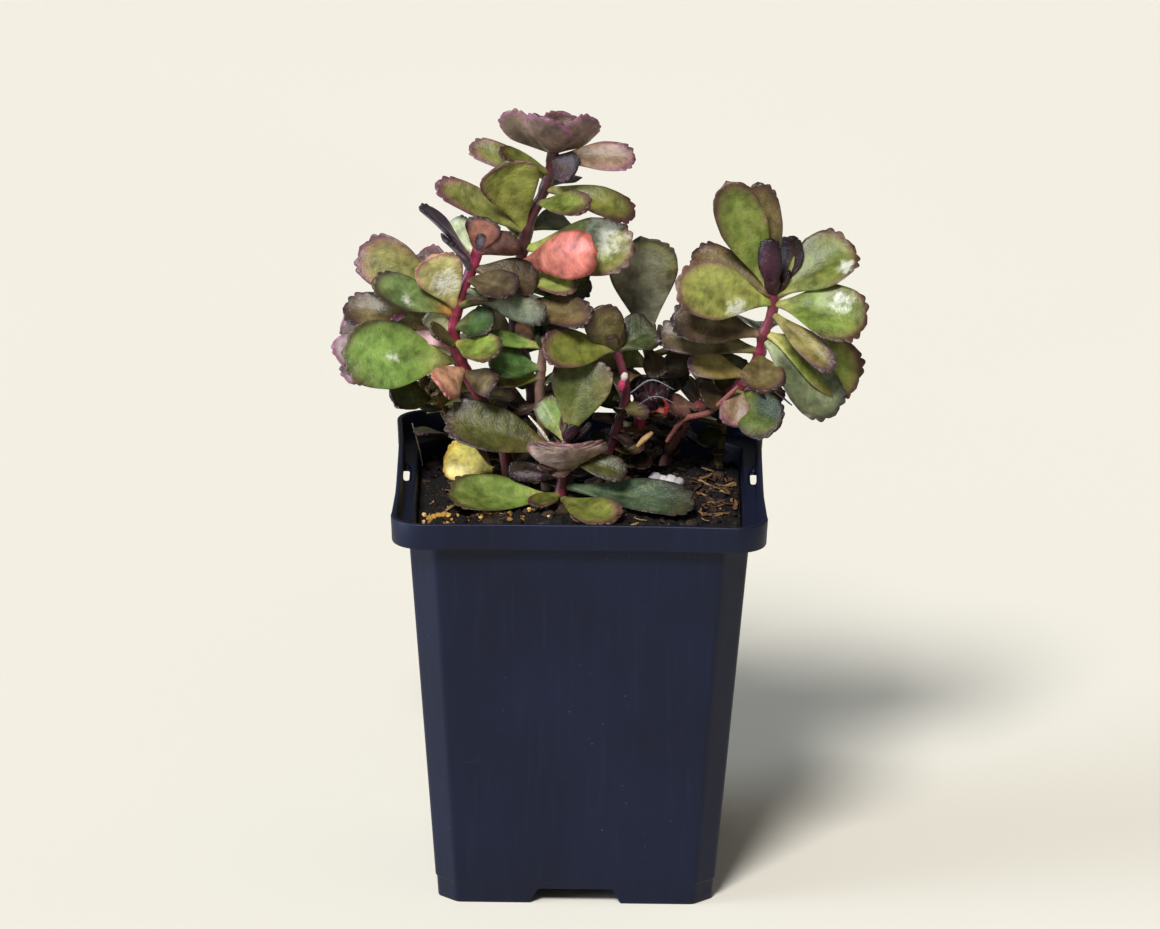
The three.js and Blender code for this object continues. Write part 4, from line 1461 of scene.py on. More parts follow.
@dataclass(frozen=True)
class SoilFill:
    """The potting soil, with crumbs, bark chips and fibres on its top."""

    pot: NurseryPot
    inset: float = 1.5
    crumbs: int = 1100
    clods: int = 110
    chips: int = 210
    right_share: float = 0.35
    seed: int = 41

    CRUMB_REACH = 38.3
    REACH = 36.0
    CHIP_LIMIT = 38.0
    CRUMB_SEED = 5000
    CLOD_SEED = 7000
    RELIEF = 0.75
    ALONG = 3
    RINGS = 64
    RIGHT_MIDDLE, RIGHT_SPREAD = (31, 6), (4, 9)
    # The ground and crumb tints are dark peat, darkened further to near black to paint the shade inside the pot.
    GROUND_HUE = "#100b0b"
    CRUMB_HUES = ("#150f0e", "#0f0b0b", "#1f1512", "#2e1f19", "#0b0909", "#3a291e")
    CHIP_HUES = ("#6b4a30", "#7d5a3a", "#4e3524", "#8a6a48", "#3a281c", "#94784f")

    def build(self) -> bpy.types.Object:
        """Fill the pot.

        Returns:
            The finished object.
        """
        piece = Piece("soil_fill", "soil", [Earth().make()], ("potting_soil",), crease=180)
        piece.add(self._ground())
        draw = np.random.default_rng(self.seed)
        spots = draw.uniform(-self.CRUMB_REACH, self.CRUMB_REACH, (self.crumbs, 2))
        sizes = 0.28 + 0.95 * draw.random(self.crumbs) ** 3
        for index, ((x, y), size) in enumerate(zip(spots, sizes)):
            spot = (x, y, float(soil_height(x, y)) + size * 0.25)
            hue = pick(draw, self.CRUMB_HUES)
            piece.add(Lump(spot, size, self.CRUMB_SEED + index, 0.75, hue, 3, 6).stone())
        for index in range(self.clods):
            x, y = draw.uniform(-self.REACH, self.REACH, 2)
            size = draw.uniform(1.1, 2.4)
            hue = pick(draw, self.CRUMB_HUES)
            spot = (x, y, float(soil_height(x, y)) + size * 0.12)
            piece.add(Lump(spot, size, self.CLOD_SEED + index, 0.6, hue, 5, 8).stone())
        for _ in range(self.chips):
            piece.add(self._chip(draw))
        return piece.build()

    def _ground(self) -> Surface:
        """Work out the soil itself, with sides that follow the pot and a top of rings drawn in to the middle.

        The top is soil_height plus fine bumps that fade out at the wall.

        Returns:
            The closed soil.
        """
        low = self.pot.floor_top + 0.3
        side = self.pot.body(SOIL_EDGE, self.inset)
        places = np.linspace(0, len(side), self.ALONG * len(side), endpoint=False)
        looped = np.vstack([side, side[:1]])
        side = np.stack([np.interp(places, np.arange(len(looped)), looped[:, axis]) for axis in (0, 1)], -1)
        foot = side * (self.pot.body(low, self.inset)[0, 0] / self.pot.body(SOIL_EDGE, self.inset)[0, 0])
        shares = np.linspace(1.0, 0.014, self.RINGS)
        flat = side[None] * shares[:, None, None]
        rough = Bumps(7, 5.0, 4, 10).at(np.concatenate([flat, np.zeros((*flat.shape[:2], 1))], -1))
        fade = ease(shares, 1.02, 0.9)[:, None]
        height = soil_height(flat[..., 0], flat[..., 1]) + self.RELIEF * rough * fade
        top = np.concatenate([flat, height[..., None]], -1)
        wall = np.column_stack([foot, np.full(len(foot), low)])
        rings = np.concatenate([wall[None], top])
        marks = plain(opaque(self.GROUND_HUE), rings.shape[:2])
        return ringed(rings, np.array([0, 0, low]), top[-1].mean(0), marks)

    def _chip(self, draw: np.random.Generator) -> Surface:
        """Lay one bark chip or fibre on the soil, more of them at the right than elsewhere.

        Args:
            draw: The soil's random numbers.

        Returns:
            The closed chip.
        """
        x, y = draw.uniform(-self.REACH, self.REACH, 2)
        if draw.random() < self.right_share:
            x, y = draw.normal(self.RIGHT_MIDDLE, self.RIGHT_SPREAD)
        turn, size = draw.uniform(0, 2 * math.pi), draw.uniform(1.2, 4.6)
        way = np.array([math.cos(turn), math.sin(turn)])
        knots = []
        for along in (-0.5, 0.0, 0.5):
            spot = np.array([x, y]) + way * size * along + draw.uniform(-0.25, 0.25, 2)
            spot = np.clip(spot, -self.CHIP_LIMIT, self.CHIP_LIMIT)
            knots.append((*spot, float(soil_height(*spot)) + 0.45 + draw.uniform(0, 0.5)))
        hue = pick(draw, self.CHIP_HUES)
        return Chip(tuple(knots), draw.uniform(0.3, 1.5), hue, draw.uniform(0.3, 0.8)).strand()


@dataclass(frozen=True)
class Scatter:
    """Loose grains in a row on the soil, in place of a fused cluster of the model, with strays round its middle."""

    name: str
    node: str
    slot: str
    start: tuple[float, float]
    stop: tuple[float, float]
    count: int
    radius: float
    hues: tuple[str, ...]
    stain: str
    strays: int = 0

    STRAY_SPREAD = (8.0, 3.5)
    LIMIT = 37.5
    SEED = 300

    def build(self) -> bpy.types.Object:
        """Lay the grains a little out of line, and strew the smaller strays round their middle.

        Returns:
            The finished object.
        """
        finish = Mineral(f"{self.name}_finish", self.stain).make()
        piece = Piece(self.name, self.slot, [finish], (self.node,), crease=60)
        draw = np.random.default_rng(sum(map(ord, self.name)))
        ends = np.array([self.start, self.stop])
        spots = ends[0] + (ends[1] - ends[0]) * np.linspace(0, 1, self.count)[:, None]
        spots = spots + draw.uniform(-0.3, 0.3, (self.count, 2)) * self.radius
        sizes = self.radius * draw.uniform(0.85, 1.1, self.count)
        if self.strays:
            loose = ends.mean(0) + draw.normal(size=(self.strays, 2)) * np.array(self.STRAY_SPREAD)
            spots = np.vstack([spots, np.clip(loose, -self.LIMIT, self.LIMIT)])
            sizes = np.append(sizes, self.radius * draw.uniform(0.25, 0.7, self.strays))
        for index, ((x, y), size) in enumerate(zip(spots, sizes)):
            spot = (x, y, float(soil_height(x, y)) + size * 0.5)
            piece.add(Lump(spot, float(size), self.SEED + index, 0.8, pick(draw, self.hues), 7, 12).stone())
        return piece.build()


# Studio


@dataclass(frozen=True)
class Lamp:
    """A far lamp: the direction it stands in, its spread in degrees, its strength and its linear colour."""

    name: str
    place: Point
    spread: float
    power: float
    colour: Point = (1.0, 1.0, 1.0)

    def hang(self) -> None:
        """Put the lamp into the scene, turned to the middle of the floor."""
        lamp = bpy.data.lights.new(self.name, "SUN")
        lamp.angle, lamp.energy, lamp.color = math.radians(self.spread), self.power, self.colour
        holder = bpy.data.objects.new(self.name, lamp)
        holder.location = self.place
        holder.rotation_euler = (-Vector(self.place)).to_track_quat("-Z", "Y").to_euler()
        bpy.context.scene.collection.objects.link(holder)


@dataclass(frozen=True)
class Studio:
    """A pale floor, soft lamps and the camera at the photograph's angle, in metres and degrees."""

    pitch: float = 18.12
    roll: float = 0.65
    distance: float = 2.4
    look_at: float = 0.1008
    lens: float = 308.05
    floor_reach: float = 6.0
    air_colour: tuple[float, ...] = (0.95, 0.94, 0.9, 1.0)
    air_strength: float = 0.24
    lamps: tuple[Lamp, ...] = (
        Lamp("key_lamp", (-0.24, -0.78, 0.86), 16.0, 4.1),
        Lamp("side_lamp", (-1.0, -0.24, 0.14), 34.0, 4.4, (0.7, 0.83, 1.0)),
    )

    def build(self) -> None:
        """Set up the floor, the lamps, the light from all round and the camera."""
        self._floor()
        for lamp in self.lamps:
            lamp.hang()
        world = bpy.data.worlds.new("studio_air")
        world.use_nodes = True
        air = world.node_tree.nodes["Background"]
        air.inputs["Color"].default_value = self.air_colour
        air.inputs["Strength"].default_value = self.air_strength
        bpy.context.scene.world = world
        bpy.context.scene.view_settings.view_transform = "Standard"
        self._camera()

    def _floor(self) -> None:
        """Lay the floor plane, wide enough to fill every view."""
        mesh = bpy.data.meshes.new("floor")
        far = self.floor_reach
        mesh.from_pydata([(-far, -far, 0), (far, -far, 0), (far, far, 0), (-far, far, 0)], [], [(0, 1, 2, 3)])
        mesh.materials.append(Sweep().make())
        floor = bpy.data.objects.new("floor", mesh)
        bpy.context.scene.collection.objects.link(floor)

    def _camera(self) -> None:
        """Place the camera by its pitch above the horizon, its roll and its distance from what it looks at."""
        pitch, roll = math.radians(self.pitch), math.radians(self.roll)
        back = Vector((0, -math.cos(pitch), math.sin(pitch)))
        up, right = Vector((0, math.sin(pitch), math.cos(pitch))), Vector((1, 0, 0))
        turned = right * math.cos(roll) + up * math.sin(roll)
        over = up * math.cos(roll) - right * math.sin(roll)
        lens = bpy.data.cameras.new("photo_camera")
        lens.lens, lens.sensor_width, lens.clip_end = self.lens, 36.0, 100.0
        camera = bpy.data.objects.new("photo_camera", lens)
        place = Matrix((turned, over, back)).transposed().to_4x4()
        place.translation = Vector((0, 0, self.look_at)) + back * self.distance
        camera.matrix_world = place
        bpy.context.scene.collection.objects.link(camera)
        bpy.context.scene.camera = camera


# The shoots, with every point in mm

SHOOTS = (
    Shoot(
        "tall_shoot",
        slot="purple_olive_leaves",
        hues=("#574030", "#4a3028", "#3f1d22", "#40161f", "#4a2028"),
        litter=9,
        bud=Tone.ROSETTE,
        radius=1.5,
        foot=(-9, 15),
        stem=(
            (-12, 14, 116), (-16, 13, 131), (-16, 12, 139), (-15, 12, 148), (-13, 11, 158),
            (-9, 10, 168), (-7, 9, 178),
        ),
        leaves=(
            Leaf(0.99, (-19, 6, 187), 9, Facing.AWAY_RIGHT, Tone.ROSETTE, arch=-0.1),
            Leaf(0.99, (-9, -1, 188), 13, Facing.INWARD, Tone.ROSETTE, arch=-0.14),
            Leaf(0.99, (-5, 15, 185), 10, Facing.INWARD, Tone.ROSETTE, arch=-0.14),
            Leaf(0.99, (3, 8, 185), 9, Facing.AWAY_LEFT, Tone.ROSETTE, arch=-0.1),
            Leaf(0.97, (12, 6, 176), 8, Facing.FORWARD_UP, Tone.ROSY),
            Leaf(0.97, (-2, 4, 173), 8, Facing.FORWARD, Tone.PLUM),
            Leaf(0.92, (-27, 12, 177), 7, Facing.FORWARD_UP, Tone.HEATHER),
            Leaf(0.93, (-20, 4, 177.5), 7, Facing.UP_FORWARD, Tone.OLIVE),
            Leaf(
                0.76, (-18.5, 2, 176), 15, Facing.FORWARD, Tone.YELLOW_GREEN, arch=-0.05, teeth=0.7, widest=0.86
            ),
            Leaf(0.77, (-35, 10, 168), 8, Facing.FORWARD_UP, Tone.HEATHER),
            Leaf(0.89, (12, 6, 162), 8, Facing.FORWARD_UP, Tone.OLIVE, arch=0.1),
            Leaf(0.85, (1, -6, 167), 8, Facing.FORWARD_UP, Tone.OLIVE),
            Leaf(0.9, (-3, 22, 167), 8, Facing.INWARD, Tone.BROWN),
            Leaf(0.78, (-4, 24, 155), 7, Facing.FORWARD_UP, Tone.DARK_OLIVE),
            Leaf(0.74, (-20, 24, 159), 9, Facing.INWARD, Tone.OLIVE),
            Leaf(0.73, (12, 4, 154), 15, Facing.MOSTLY_FORWARD, Tone.YELLOW_GREEN, wet=(0.76, -0.4, 5.6)),
            Leaf(0.69, (3, -7, 157), 12, Facing.AWAY, Tone.CORAL, arch=-0.06, teeth=0.1),
            Leaf(0.66, (-2, 2, 144), 8, Facing.UP_FORWARD, Tone.YELLOW_GREEN),
            Leaf(0.63, (2, 12, 142), 10, Facing.FORWARD_UP, Tone.DARK_OLIVE),
            Leaf(0.59, (2, -2, 138), 9, Facing.FORWARD_UP, Tone.OLIVE_BROWN),
            Leaf(0.57, (-10, 34, 132), 10, Facing.INWARD, Tone.OLIVE),
            Leaf(0.52, (-5, 6, 135), 6, Facing.AWAY, Tone.GREY_GREEN),
            Leaf(0.44, (-20, 34, 119), 10, Facing.INWARD, Tone.OLIVE),
            Leaf(0.48, (-27, 22, 131), 10, Facing.FORWARD_UP, Tone.OLIVE_BROWN),
            Leaf(0.46, (-4, 22, 129), 9, Facing.FORWARD_UP, Tone.DARK_OLIVE),
            Leaf(0.5, (-12, 5, 134), 6, Facing.FORWARD, Tone.PEACH),
            Leaf(0.3, (-23, 20, 111), 9, Facing.FORWARD_UP, Tone.OLIVE_BROWN),
            Leaf(0.34, (-1, 20, 112), 9, Facing.FORWARD_UP, Tone.BROWN),
        ),
    ),
    Shoot(
        "left_shoot",
        slot="purple_olive_leaves",
        hues=("#5f4630", "#6a2c34", "#80203a", "#8a2444"),
        litter=8,
        bud=Tone.DUSKY,
        radius=1.5,
        foot=(-17, 10),
        stem=(
            (-20, 9, 108), (-24, 7, 115), (-29, 6, 124), (-31, 5, 133), (-30, 5, 139), (-28, 5, 145),
            (-26, 5, 150), (-25, 5, 154),
        ),
        leaves=(
            Leaf(0.98, (-23, 2, 162), 9, Facing.FORWARD, Tone.FLAMED, widest=0.8),
            Leaf(0.98, (-15, 1, 156), 9, Facing.BACKWARD, Tone.RUST),
            Leaf(0.97, (-31, 11, 159), 6, Facing.FORWARD, Tone.SILVER),
            Leaf(0.94, (-39, 3, 164), 9, Facing.INWARD, Tone.DUSKY),
            Leaf(0.92, (-33, -3, 158), 7, Facing.INWARD, Tone.DUSKY),
            Leaf(0.79, (-36, 0, 153), 12, Facing.FORWARD, Tone.CREAM, wet=(0.55, 0.1, 4.4), widest=0.8),
            Leaf(0.81, (-38, 12, 151), 8, Facing.FORWARD, Tone.ROSETTE),
            Leaf(0.79, (-53, 9, 152), 13, Facing.FORWARD, Tone.HEATHER, widest=0.74),
            Leaf(0.77, (-50, -3, 147), 9, Facing.FORWARD_UP, Tone.GLOSSY, wet=(0.62, -0.4, 1.8)),
            Leaf(0.73, (-57, 8, 137), 10, Facing.FORWARD_UP, Tone.OLIVE_BROWN),
            Leaf(0.72, (-37, 2, 138), 6, Facing.AWAY, Tone.SILVER),
            Leaf(0.66, (-46, 4, 135), 6, Facing.FORWARD_UP, Tone.BLUSH),
            Leaf(0.93, (-11, 4, 145), 10, Facing.FORWARD_UP, Tone.BROWN),
            Leaf(0.89, (-16, -5, 146), 9, Facing.FORWARD_UP, Tone.BROWN),
            Leaf(0.86, (-9, -3, 139), 7, Facing.AWAY, Tone.GREY_GREEN),
            Leaf(0.8, (-21, -2, 143), 6, Facing.UP, Tone.OLIVE),
            Leaf(0.73, (-21, 0, 137), 8, Facing.FORWARD_UP, Tone.DARK_GREEN),
            Leaf(0.68, (-20, -8, 131), 9, Facing.FORWARD_UP, Tone.GREEN),
            Leaf(0.67, (-36, -4, 135), 7, Facing.FORWARD_UP, Tone.DARK_OLIVE),
            Leaf(0.62, (-57, -2, 129), 17, Facing.FORWARD, Tone.BRIGHT_GREEN, teeth=0.4, wet=(0.6, 0, 1.6)),
            Leaf(0.59, (-34, -8, 123), 9, Facing.AWAY, Tone.PEACH, arch=-0.04),
            Leaf(0.58, (-21, -9, 123), 7, Facing.AWAY, Tone.OLIVE_BROWN, arch=-0.04),
            Leaf(0.79, (-25, 27, 134), 10, Facing.INWARD, Tone.OLIVE),
            Leaf(0.63, (-32, 28, 123), 11, Facing.INWARD, Tone.OLIVE),
        ),
        branch=Branch(
            radius=1.2,
            start=0.64,
            stem=((-33, 7, 132), (-38, 9, 133), (-44, 9, 132), (-51, 8, 131)),
            leaves=(
                Leaf(0.97, (-58, 6, 124), 10, Facing.BACKWARD, Tone.MAUVE),
                Leaf(0.97, (-58, 8, 133), 9, Facing.BACKWARD, Tone.MAUVE),
                Leaf(0.82, (-56, 10, 118), 9, Facing.BACKWARD, Tone.MAUVE),
                Leaf(0.69, (-48, 20, 136), 10, Facing.INWARD, Tone.OLIVE),
            ),
        ),
    ),
    Shoot(
        "low_left_shoot",
        slot="olive_leaves",
        hues=("#6b5a3a", "#6d5a3c", "#7a5040"),
        litter=5,
        bud=Tone.DARK_OLIVE,
        radius=1.2,
        foot=(-23, 29),
        stem=((-28, 26, 101), (-33, 18, 109), (-35, 12, 115)),
        leaves=(
            Leaf(0.96, (-46, 8, 115), 10, Facing.FORWARD_UP, Tone.DARK_OLIVE),
            Leaf(0.9, (-45, 13, 111), 8, Facing.UP, Tone.YELLOW_GREEN),
            Leaf(0.86, (-33, 8, 120), 8, Facing.FORWARD, Tone.DARK_OLIVE),
            Leaf(0.86, (-26, 12, 117), 8, Facing.FORWARD, Tone.YELLOW_GREEN),
            Leaf(0.79, (-34, 30, 106), 9, Facing.INWARD, Tone.OLIVE),
        ),
    ),
    Shoot(
        "middle_shoot",
        slot="green_leaves",
        hues=("#6a564c", "#7a6054", "#8a6c60"),
        litter=7,
        bud=Tone.DARK_GREEN,
        radius=1.4,
        foot=(-8, 8),
        stem=((-9, 8, 106), (-10, 6, 118), (-9, 3, 130)),
        leaves=(
            Leaf(0.99, (-25, 3, 131), 6, Facing.UP_FORWARD, Tone.BRIGHT_GREEN),
            Leaf(0.87, (-22, 0, 126), 9, Facing.FORWARD_UP, Tone.DARK_GREEN),
            Leaf(0.82, (-21, 2, 121), 6, Facing.FORWARD_UP, Tone.OLIVE),
        ),
    ),
    Shoot(
        "front_shoot",
        slot="green_leaves",
        hues=("#6a3036", "#5a1c28", "#4a1a24"),
        litter=9,
        bud=Tone.MAROON,
        radius=1.3,
        foot=(-5, -3),
        stem=((-4, -3, 99), (-4, -4, 106), (-3, -4, 109)),
        leaves=(
            Leaf(0.48, (-31, -8, 95), 13, Facing.UP_FORWARD, Tone.BRIGHT_GREEN, arch=0),
            Leaf(0.58, (27, -11, 94), 11, Facing.UP_FORWARD, Tone.SHADE, arch=0),
            Leaf(0.48, (8, -22, 93.5), 11, Facing.UP_FORWARD, Tone.OLIVE, arch=0),
            Leaf(0.5, (-11, -12, 94), 6, Facing.UP_FORWARD, Tone.OLIVE),
            Leaf(0.69, (-2, -13.5, 110), 20, Facing.INWARD, Tone.PAINTED_LIT_PINK, arch=-0.06),
            Leaf(0.84, (-32, -2, 113), 13, Facing.FORWARD_UP, Tone.UMBER),
            Leaf(0.97, (2, 2, 127), 15, Facing.FORWARD, Tone.MOSS, widest=0.74),
            Leaf(0.96, (-9, 1, 117), 7, Facing.FORWARD, Tone.BRIGHT_GREEN),
            Leaf(0.84, (11, -8, 101), 7, Facing.FORWARD_UP, Tone.UMBER),
            Leaf(0.66, (-17, -2, 100), 5, Facing.FORWARD, Tone.MAROON),
        ),
    ),
    Shoot(
        "red_middle_shoot",
        slot="olive_leaves",
        hues=("#3c2224", "#52202e", "#6e2a3c"),
        litter=14,
        bud=Tone.OLIVE_BROWN,
        radius=1.2,
        foot=(5, 12),
        stem=((9, 10, 108), (11, 8, 116), (10, 7, 123), (8, 6, 129)),
        leaves=(
            Leaf(0.98, (-9, -4, 130), 11, Facing.FORWARD_UP, Tone.OLIVE),
            Leaf(0.97, (4, 2, 140), 10, Facing.FORWARD, Tone.OLIVE_BROWN),
            Leaf(0.97, (17, 10, 133), 11, Facing.FORWARD_UP, Tone.DARK_OLIVE),
            Leaf(0.96, (9, 26, 124), 10, Facing.INWARD, Tone.OLIVE),
        ),
    ),
    Shoot(
        "bud_shoot",
        slot="dark_red_leaves",
        hues=("#4a2028", "#7a1e3a", "#8a2040"),
        litter=12,
        radius=1.1,
        foot=(15, 26),
        stem=((15, 19, 101), (14, 15, 108), (17, 13, 114)),
        leaves=(
            Leaf(0.96, (13, 11, 116), 6, Facing.INWARD, Tone.MAROON, arch=-0.2),
            Leaf(0.97, (15, 14, 119), 6, Facing.INWARD, Tone.MAROON, arch=-0.2),
            Leaf(0.98, (18, 15, 119), 6, Facing.INWARD, Tone.MAROON, arch=-0.2),
            Leaf(0.98, (21, 13, 117), 6, Facing.INWARD, Tone.MAROON, arch=-0.2),
            Leaf(0.96, (17, 6, 116), 6, Facing.INWARD, Tone.MAROON, arch=-0.2),
            Leaf(0.86, (8, 15, 113), 5, Facing.UP, Tone.BRIGHT_GREEN),
            Leaf(0.88, (21, 14, 110), 5, Facing.UP, Tone.CORAL),
        ),
    ),
    Shoot(
        "centre_back_shoot",
        slot="olive_leaves",
        hues=("#6b5a3a", "#6d6a3c", "#7d7a50"),
        litter=18,
        bud=Tone.OLIVE_BROWN,
        radius=1.4,
        foot=(10, 34),
        stem=((14, 28, 107), (17, 23, 117), (16, 20, 125)),
        leaves=(
            Leaf(0.98, (14, 16, 153), 17, Facing.FORWARD, Tone.WEDGE, arch=-0.05, widest=0.78),
            Leaf(0.93, (34, 16, 127), 9, Facing.UP, Tone.OLIVE_BROWN),
            Leaf(0.98, (19, 13, 119), 6, Facing.FORWARD, Tone.BROWN),
            Leaf(0.98, (13, 40, 121), 11, Facing.INWARD, Tone.OLIVE),
            Leaf(0.87, (5, 27, 121), 9, Facing.FORWARD_UP, Tone.OLIVE),
            Leaf(0.62, (26, 25, 117), 9, Facing.FORWARD_UP, Tone.DARK_OLIVE),
            Leaf(0.78, (28, 21, 122), 8, Facing.FORWARD_UP, Tone.BROWN),
            Leaf(0.55, (2, 30, 113), 10, Facing.FORWARD_UP, Tone.DARK_OLIVE),
            Leaf(0.45, (24, 30, 108), 9, Facing.FORWARD_UP, Tone.BROWN),
            Leaf(0.7, (7, 24, 117), 8, Facing.FORWARD_UP, Tone.OLIVE_BROWN),
        ),
    ),
    Shoot(
        "right_shoot",
        slot="purple_olive_leaves",
        hues=("#94685c", "#a87468", "#8a3c4a", "#7a1e38", "#701a34"),
        litter=20,
        bud=Tone.MAROON,
        radius=1.5,
        foot=(21, 32),
        stem=((27, 22, 107), (37, 14, 115), (43, 7, 127), (44, 5, 133), (46, 4, 139), (46, 4, 144)),
        leaves=(
            Leaf(0.98, (34.5, 0, 172), 12, Facing.FORWARD, Tone.GREEN, arch=-0.05, teeth=0.2),
            Leaf(0.99, (42, 6, 170), 10, Facing.FORWARD, Tone.OLIVE_BROWN, arch=-0.05),
            Leaf(0.99, (45, 0, 158), 6, Facing.INWARD, Tone.MAROON, arch=-0.14),
            Leaf(0.99, (51, 9, 156), 9, Facing.INWARD, Tone.MAROON, arch=-0.14),
            Leaf(0.98, (65, 8, 154), 15, Facing.FORWARD_UP, Tone.GREEN, wet=(0.82, 0.6, 2.4)),
            Leaf(0.96, (68, -2, 138), 15, Facing.FORWARD_UP, Tone.GREEN, arch=0.08, wet=(0.72, -0.45, 3.0)),
            Leaf(0.93, (60, -8, 128), 7, Facing.FORWARD_UP, Tone.AMBER),
            Leaf(0.86, (66, 4, 120), 15, Facing.FORWARD_UP, Tone.GREEN, arch=0.08),
            Leaf(0.84, (61, -3, 115.5), 14, Facing.FORWARD_UP, Tone.GREY_GREEN),
            Leaf(0.96, (23, -6, 149), 14, Facing.FORWARD, Tone.YELLOW_GREEN, wet=(0.4, -0.5, 3.4)),
            Leaf(0.98, (27, 8, 152), 10, Facing.FORWARD_UP, Tone.OLIVE_BROWN),
            Leaf(0.85, (22, 2, 137), 12, Facing.FORWARD_UP, Tone.BROWN),
            Leaf(0.79, (19, 9, 131), 10, Facing.FORWARD_UP, Tone.OLIVE_BROWN),
            Leaf(0.68, (26, 9, 124), 8, Facing.FORWARD_UP, Tone.AMBER),
            Leaf(0.78, (44, -6, 121.5), 11, Facing.FORWARD, Tone.OLIVE_BROWN),
            Leaf(0.63, (37, 6, 109), 8, Facing.FORWARD, Tone.ROSY),
            Leaf(0.58, (48, 2, 110.5), 12, Facing.FORWARD, Tone.MOSS),
            Leaf(0.65, (49, 7, 116), 5, Facing.FORWARD_UP, Tone.BROWN),
            Leaf(0.44, (24, 26, 115), 7, Facing.INWARD, Tone.DRIED),
            Leaf(0.52, (38, 24, 121), 9, Facing.FORWARD_UP, Tone.DARK_OLIVE),
            Leaf(0.44, (21, 13, 111), 7, Facing.FORWARD_UP, Tone.RUST),
            Leaf(0.56, (29, 10, 115), 8, Facing.FORWARD_UP, Tone.DRIED),
            Leaf(0.47, (29, 20, 117), 7, Facing.INWARD, Tone.DRIED),
            Leaf(0.97, (51, 27, 137), 12, Facing.INWARD, Tone.OLIVE),
            Leaf(0.85, (42, 29, 128), 11, Facing.INWARD, Tone.OLIVE),
        ),
    ),
    Shoot(
        "back_left_shoot",
        slot="green_leaves",
        hues=("#6b5a3a", "#6d6a3c"),
        litter=4,
        bud=Tone.OLIVE,
        radius=1.2,
        foot=(-30, 30),
        stem=((-31, 31, 101),),
        leaves=(
            Leaf(0.82, (-22.1, 35.9, 99.5), 8, Facing.INWARD, Tone.OLIVE),
            Leaf(0.82, (-40, 26.1, 99.6), 8, Facing.INWARD, Tone.OLIVE),
            Leaf(0.97, (-36, 40.2, 107.8), 8, Facing.INWARD, Tone.GREEN),
            Leaf(0.97, (-26.4, 22.6, 107.2), 8, Facing.INWARD, Tone.GREEN),
        ),
    ),
    Shoot(
        "back_right_shoot",
        slot="green_leaves",
        hues=("#6b5a3a", "#6d6a3c"),
        litter=9,
        bud=Tone.OLIVE,
        radius=1.2,
        foot=(34, 32),
        stem=((35, 32, 106),),
        leaves=(
            Leaf(0.82, (43.4, 37.7, 104.5), 9, Facing.INWARD, Tone.OLIVE),
            Leaf(0.82, (26.3, 26, 104.6), 9, Facing.INWARD, Tone.OLIVE),
            Leaf(0.97, (28.7, 41.3, 113.3), 9, Facing.INWARD, Tone.GREEN),
            Leaf(0.97, (41.2, 22.9, 113.2), 9, Facing.INWARD, Tone.GREEN),
        ),
    ),
)

# The loose grains: where each row starts and stops, how many, and their radius

PERLITE_HUES = ("#c4bcbc", "#b4acb0", "#a89f9f", "#bcb6b8")
GOLD_HUES = ("#c9a45a", "#b58a3f", "#d8b874", "#a87f3c", "#8f6a38")
SCATTERS = (
    Scatter(
        "perlite_stones", "perlite_crumbs", "perlite",
        (18, 16), (24.5, 15), 4, 1.9, PERLITE_HUES, "#9c8f86",
    ),
    Scatter(
        "golden_grit_left", "golden_grains_left", "golden_grains",
        (-36, -11), (-32, -10), 5, 0.95, GOLD_HUES, "#6b4a26", 26,
    ),
    Scatter(
        "golden_grit_front", "golden_grains_front", "golden_grains",
        (-24, -11), (-17, -10), 8, 0.95, GOLD_HUES, "#6b4a26", 34,
    ),
)

# The loose bits: a creeping stem, two silvery threads, a twig, two red scraps, a cream stub, a pink stub and
# its white end, and two straws

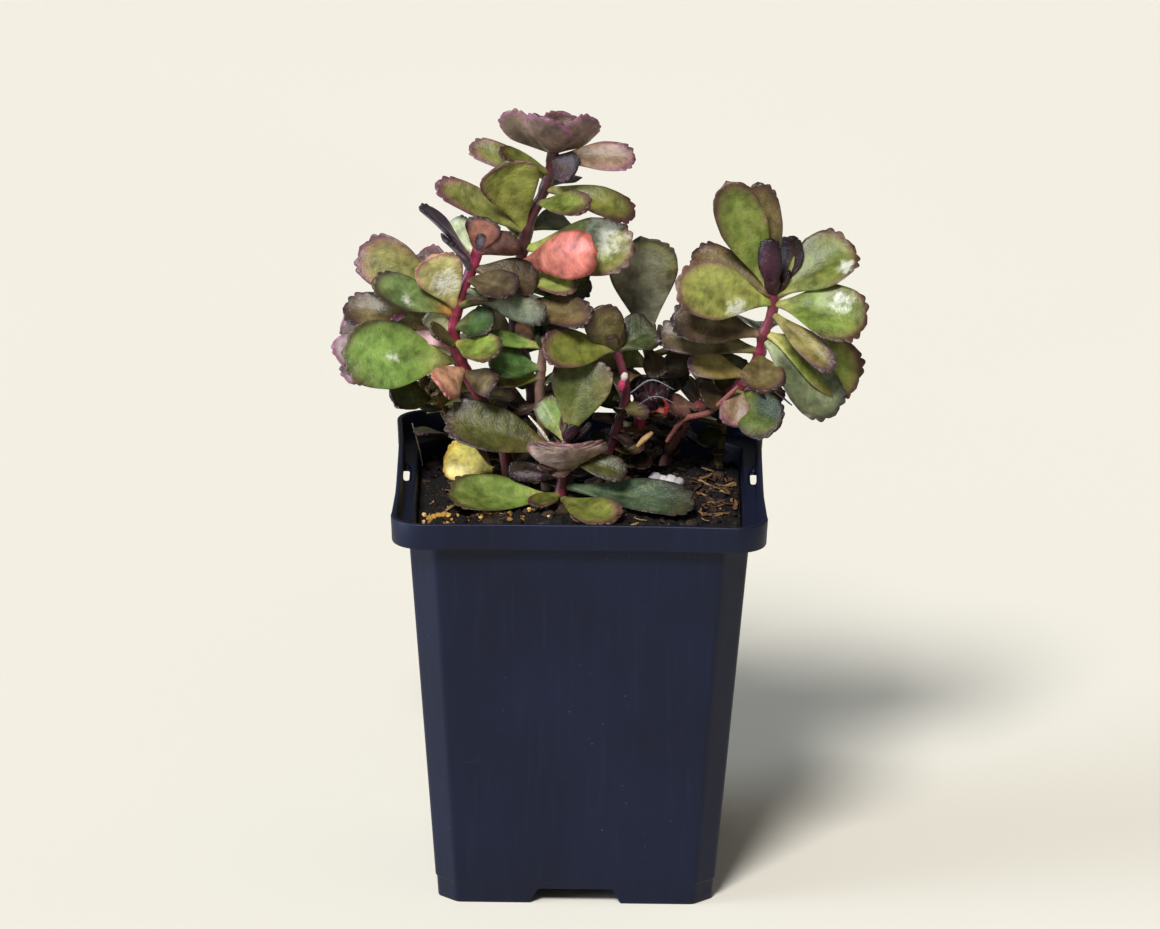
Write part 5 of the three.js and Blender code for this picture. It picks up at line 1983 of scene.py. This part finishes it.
STRAWS = (
    Fibre(((21, 15, 102), (25, 14, 108), (31, 10.5, 111), (38, 8, 118.5)), 1.7, "#84504a", 0.9),
    Fibre(((12, 5, 117.5), (17, 3, 121.5), (22.5, 5, 118.5)), 0.7, "#9a9ca6"),
    Fibre(((13.5, 4, 114.5), (18, 2.5, 117.5), (23, 4.5, 115)), 0.6, "#888c96"),
    Fibre(((44, 6, 120.5), (47.5, 3, 118.5), (51, 2, 115.8)), 1.1, "#5a4a4c"),
    Fibre(((20.5, 8, 111), (21, 7.5, 113.5), (20, 7, 115.5)), 1.4, "#94282a"),
    Fibre(((14.5, 7, 108), (15, 6.5, 111), (14.5, 6.5, 113)), 1.4, "#861a34"),
    Fibre(((13.8, 6.5, 103.4), (15.5, 6.8, 105.2), (17.4, 7.8, 106.6)), 1.9, "#b08f60", 0.8),
    Fibre(((9.4, 4.6, 118), (10.3, 4.5, 121)), 2.1, "#b0365a", 0.9),
    Fibre(((10.3, 4.5, 120.8), (10.7, 4.3, 122.8)), 1.8, "#d8c8c0", 0.9),
    # The straw in the inner back-left corner: a pale straw tint raised to near white, painted light against the
    # shade there.
    Fibre(((-38.5, 29, 90.5), (-39.6, 31, 95), (-41.2, 33.4, 100)), 0.7, "#f0dcb4"),
    Fibre(((-12.5, -3, 114), (-9.5, -3.4, 110.5), (-7, -2, 106)), 1.3, "#e6dcc0"),
)


def fallen_leaf(skins: list[bpy.types.Material]) -> bpy.types.Object:
    """Lay the faded yellow leaf on the soil.

    Args:
        skins: The leaf finish and the stem finish.

    Returns:
        The finished object.
    """
    piece = Piece("faded_leaf", "yellow_leaf", skins, ("yellow_fallen_leaf",))
    root, up = np.array([-21.0, 18.0, 93.2]), np.array([0.0, 0.0, 1.0])
    leaf = Leaf(0.0, (-33, 21, 95.2), 10.5, Facing.FORWARD, Tone.YELLOW, arch=-0.05, teeth=0.6)
    piece.add(leaf.blade(root, up, seed=77))
    return piece.build()


def straws() -> bpy.types.Object:
    """Lay the loose bits between the shoots and stand the straws up.

    Returns:
        The finished object.
    """
    piece = Piece("dry_straws", "golden_grains", [Mineral("straw_finish", "#8a6a40").make()], crease=60)
    piece.add(*[straw.strand() for straw in STRAWS])
    return piece.build()


def main() -> None:
    """Build the studio, the pot, its filling and every shoot."""
    logging.basicConfig(level=logging.INFO, format="%(name)s: %(message)s")
    Studio().build()
    pot = NurseryPot()
    pot.build()
    SoilFill(pot).build()
    skins = [LeafSkin().make(), StemSkin().make()]
    for shoot in SHOOTS:
        shoot.build(skins)
    fallen_leaf(skins)
    for scatter in SCATTERS:
        scatter.build()
    straws()


if __name__ == "__main__":
    main()
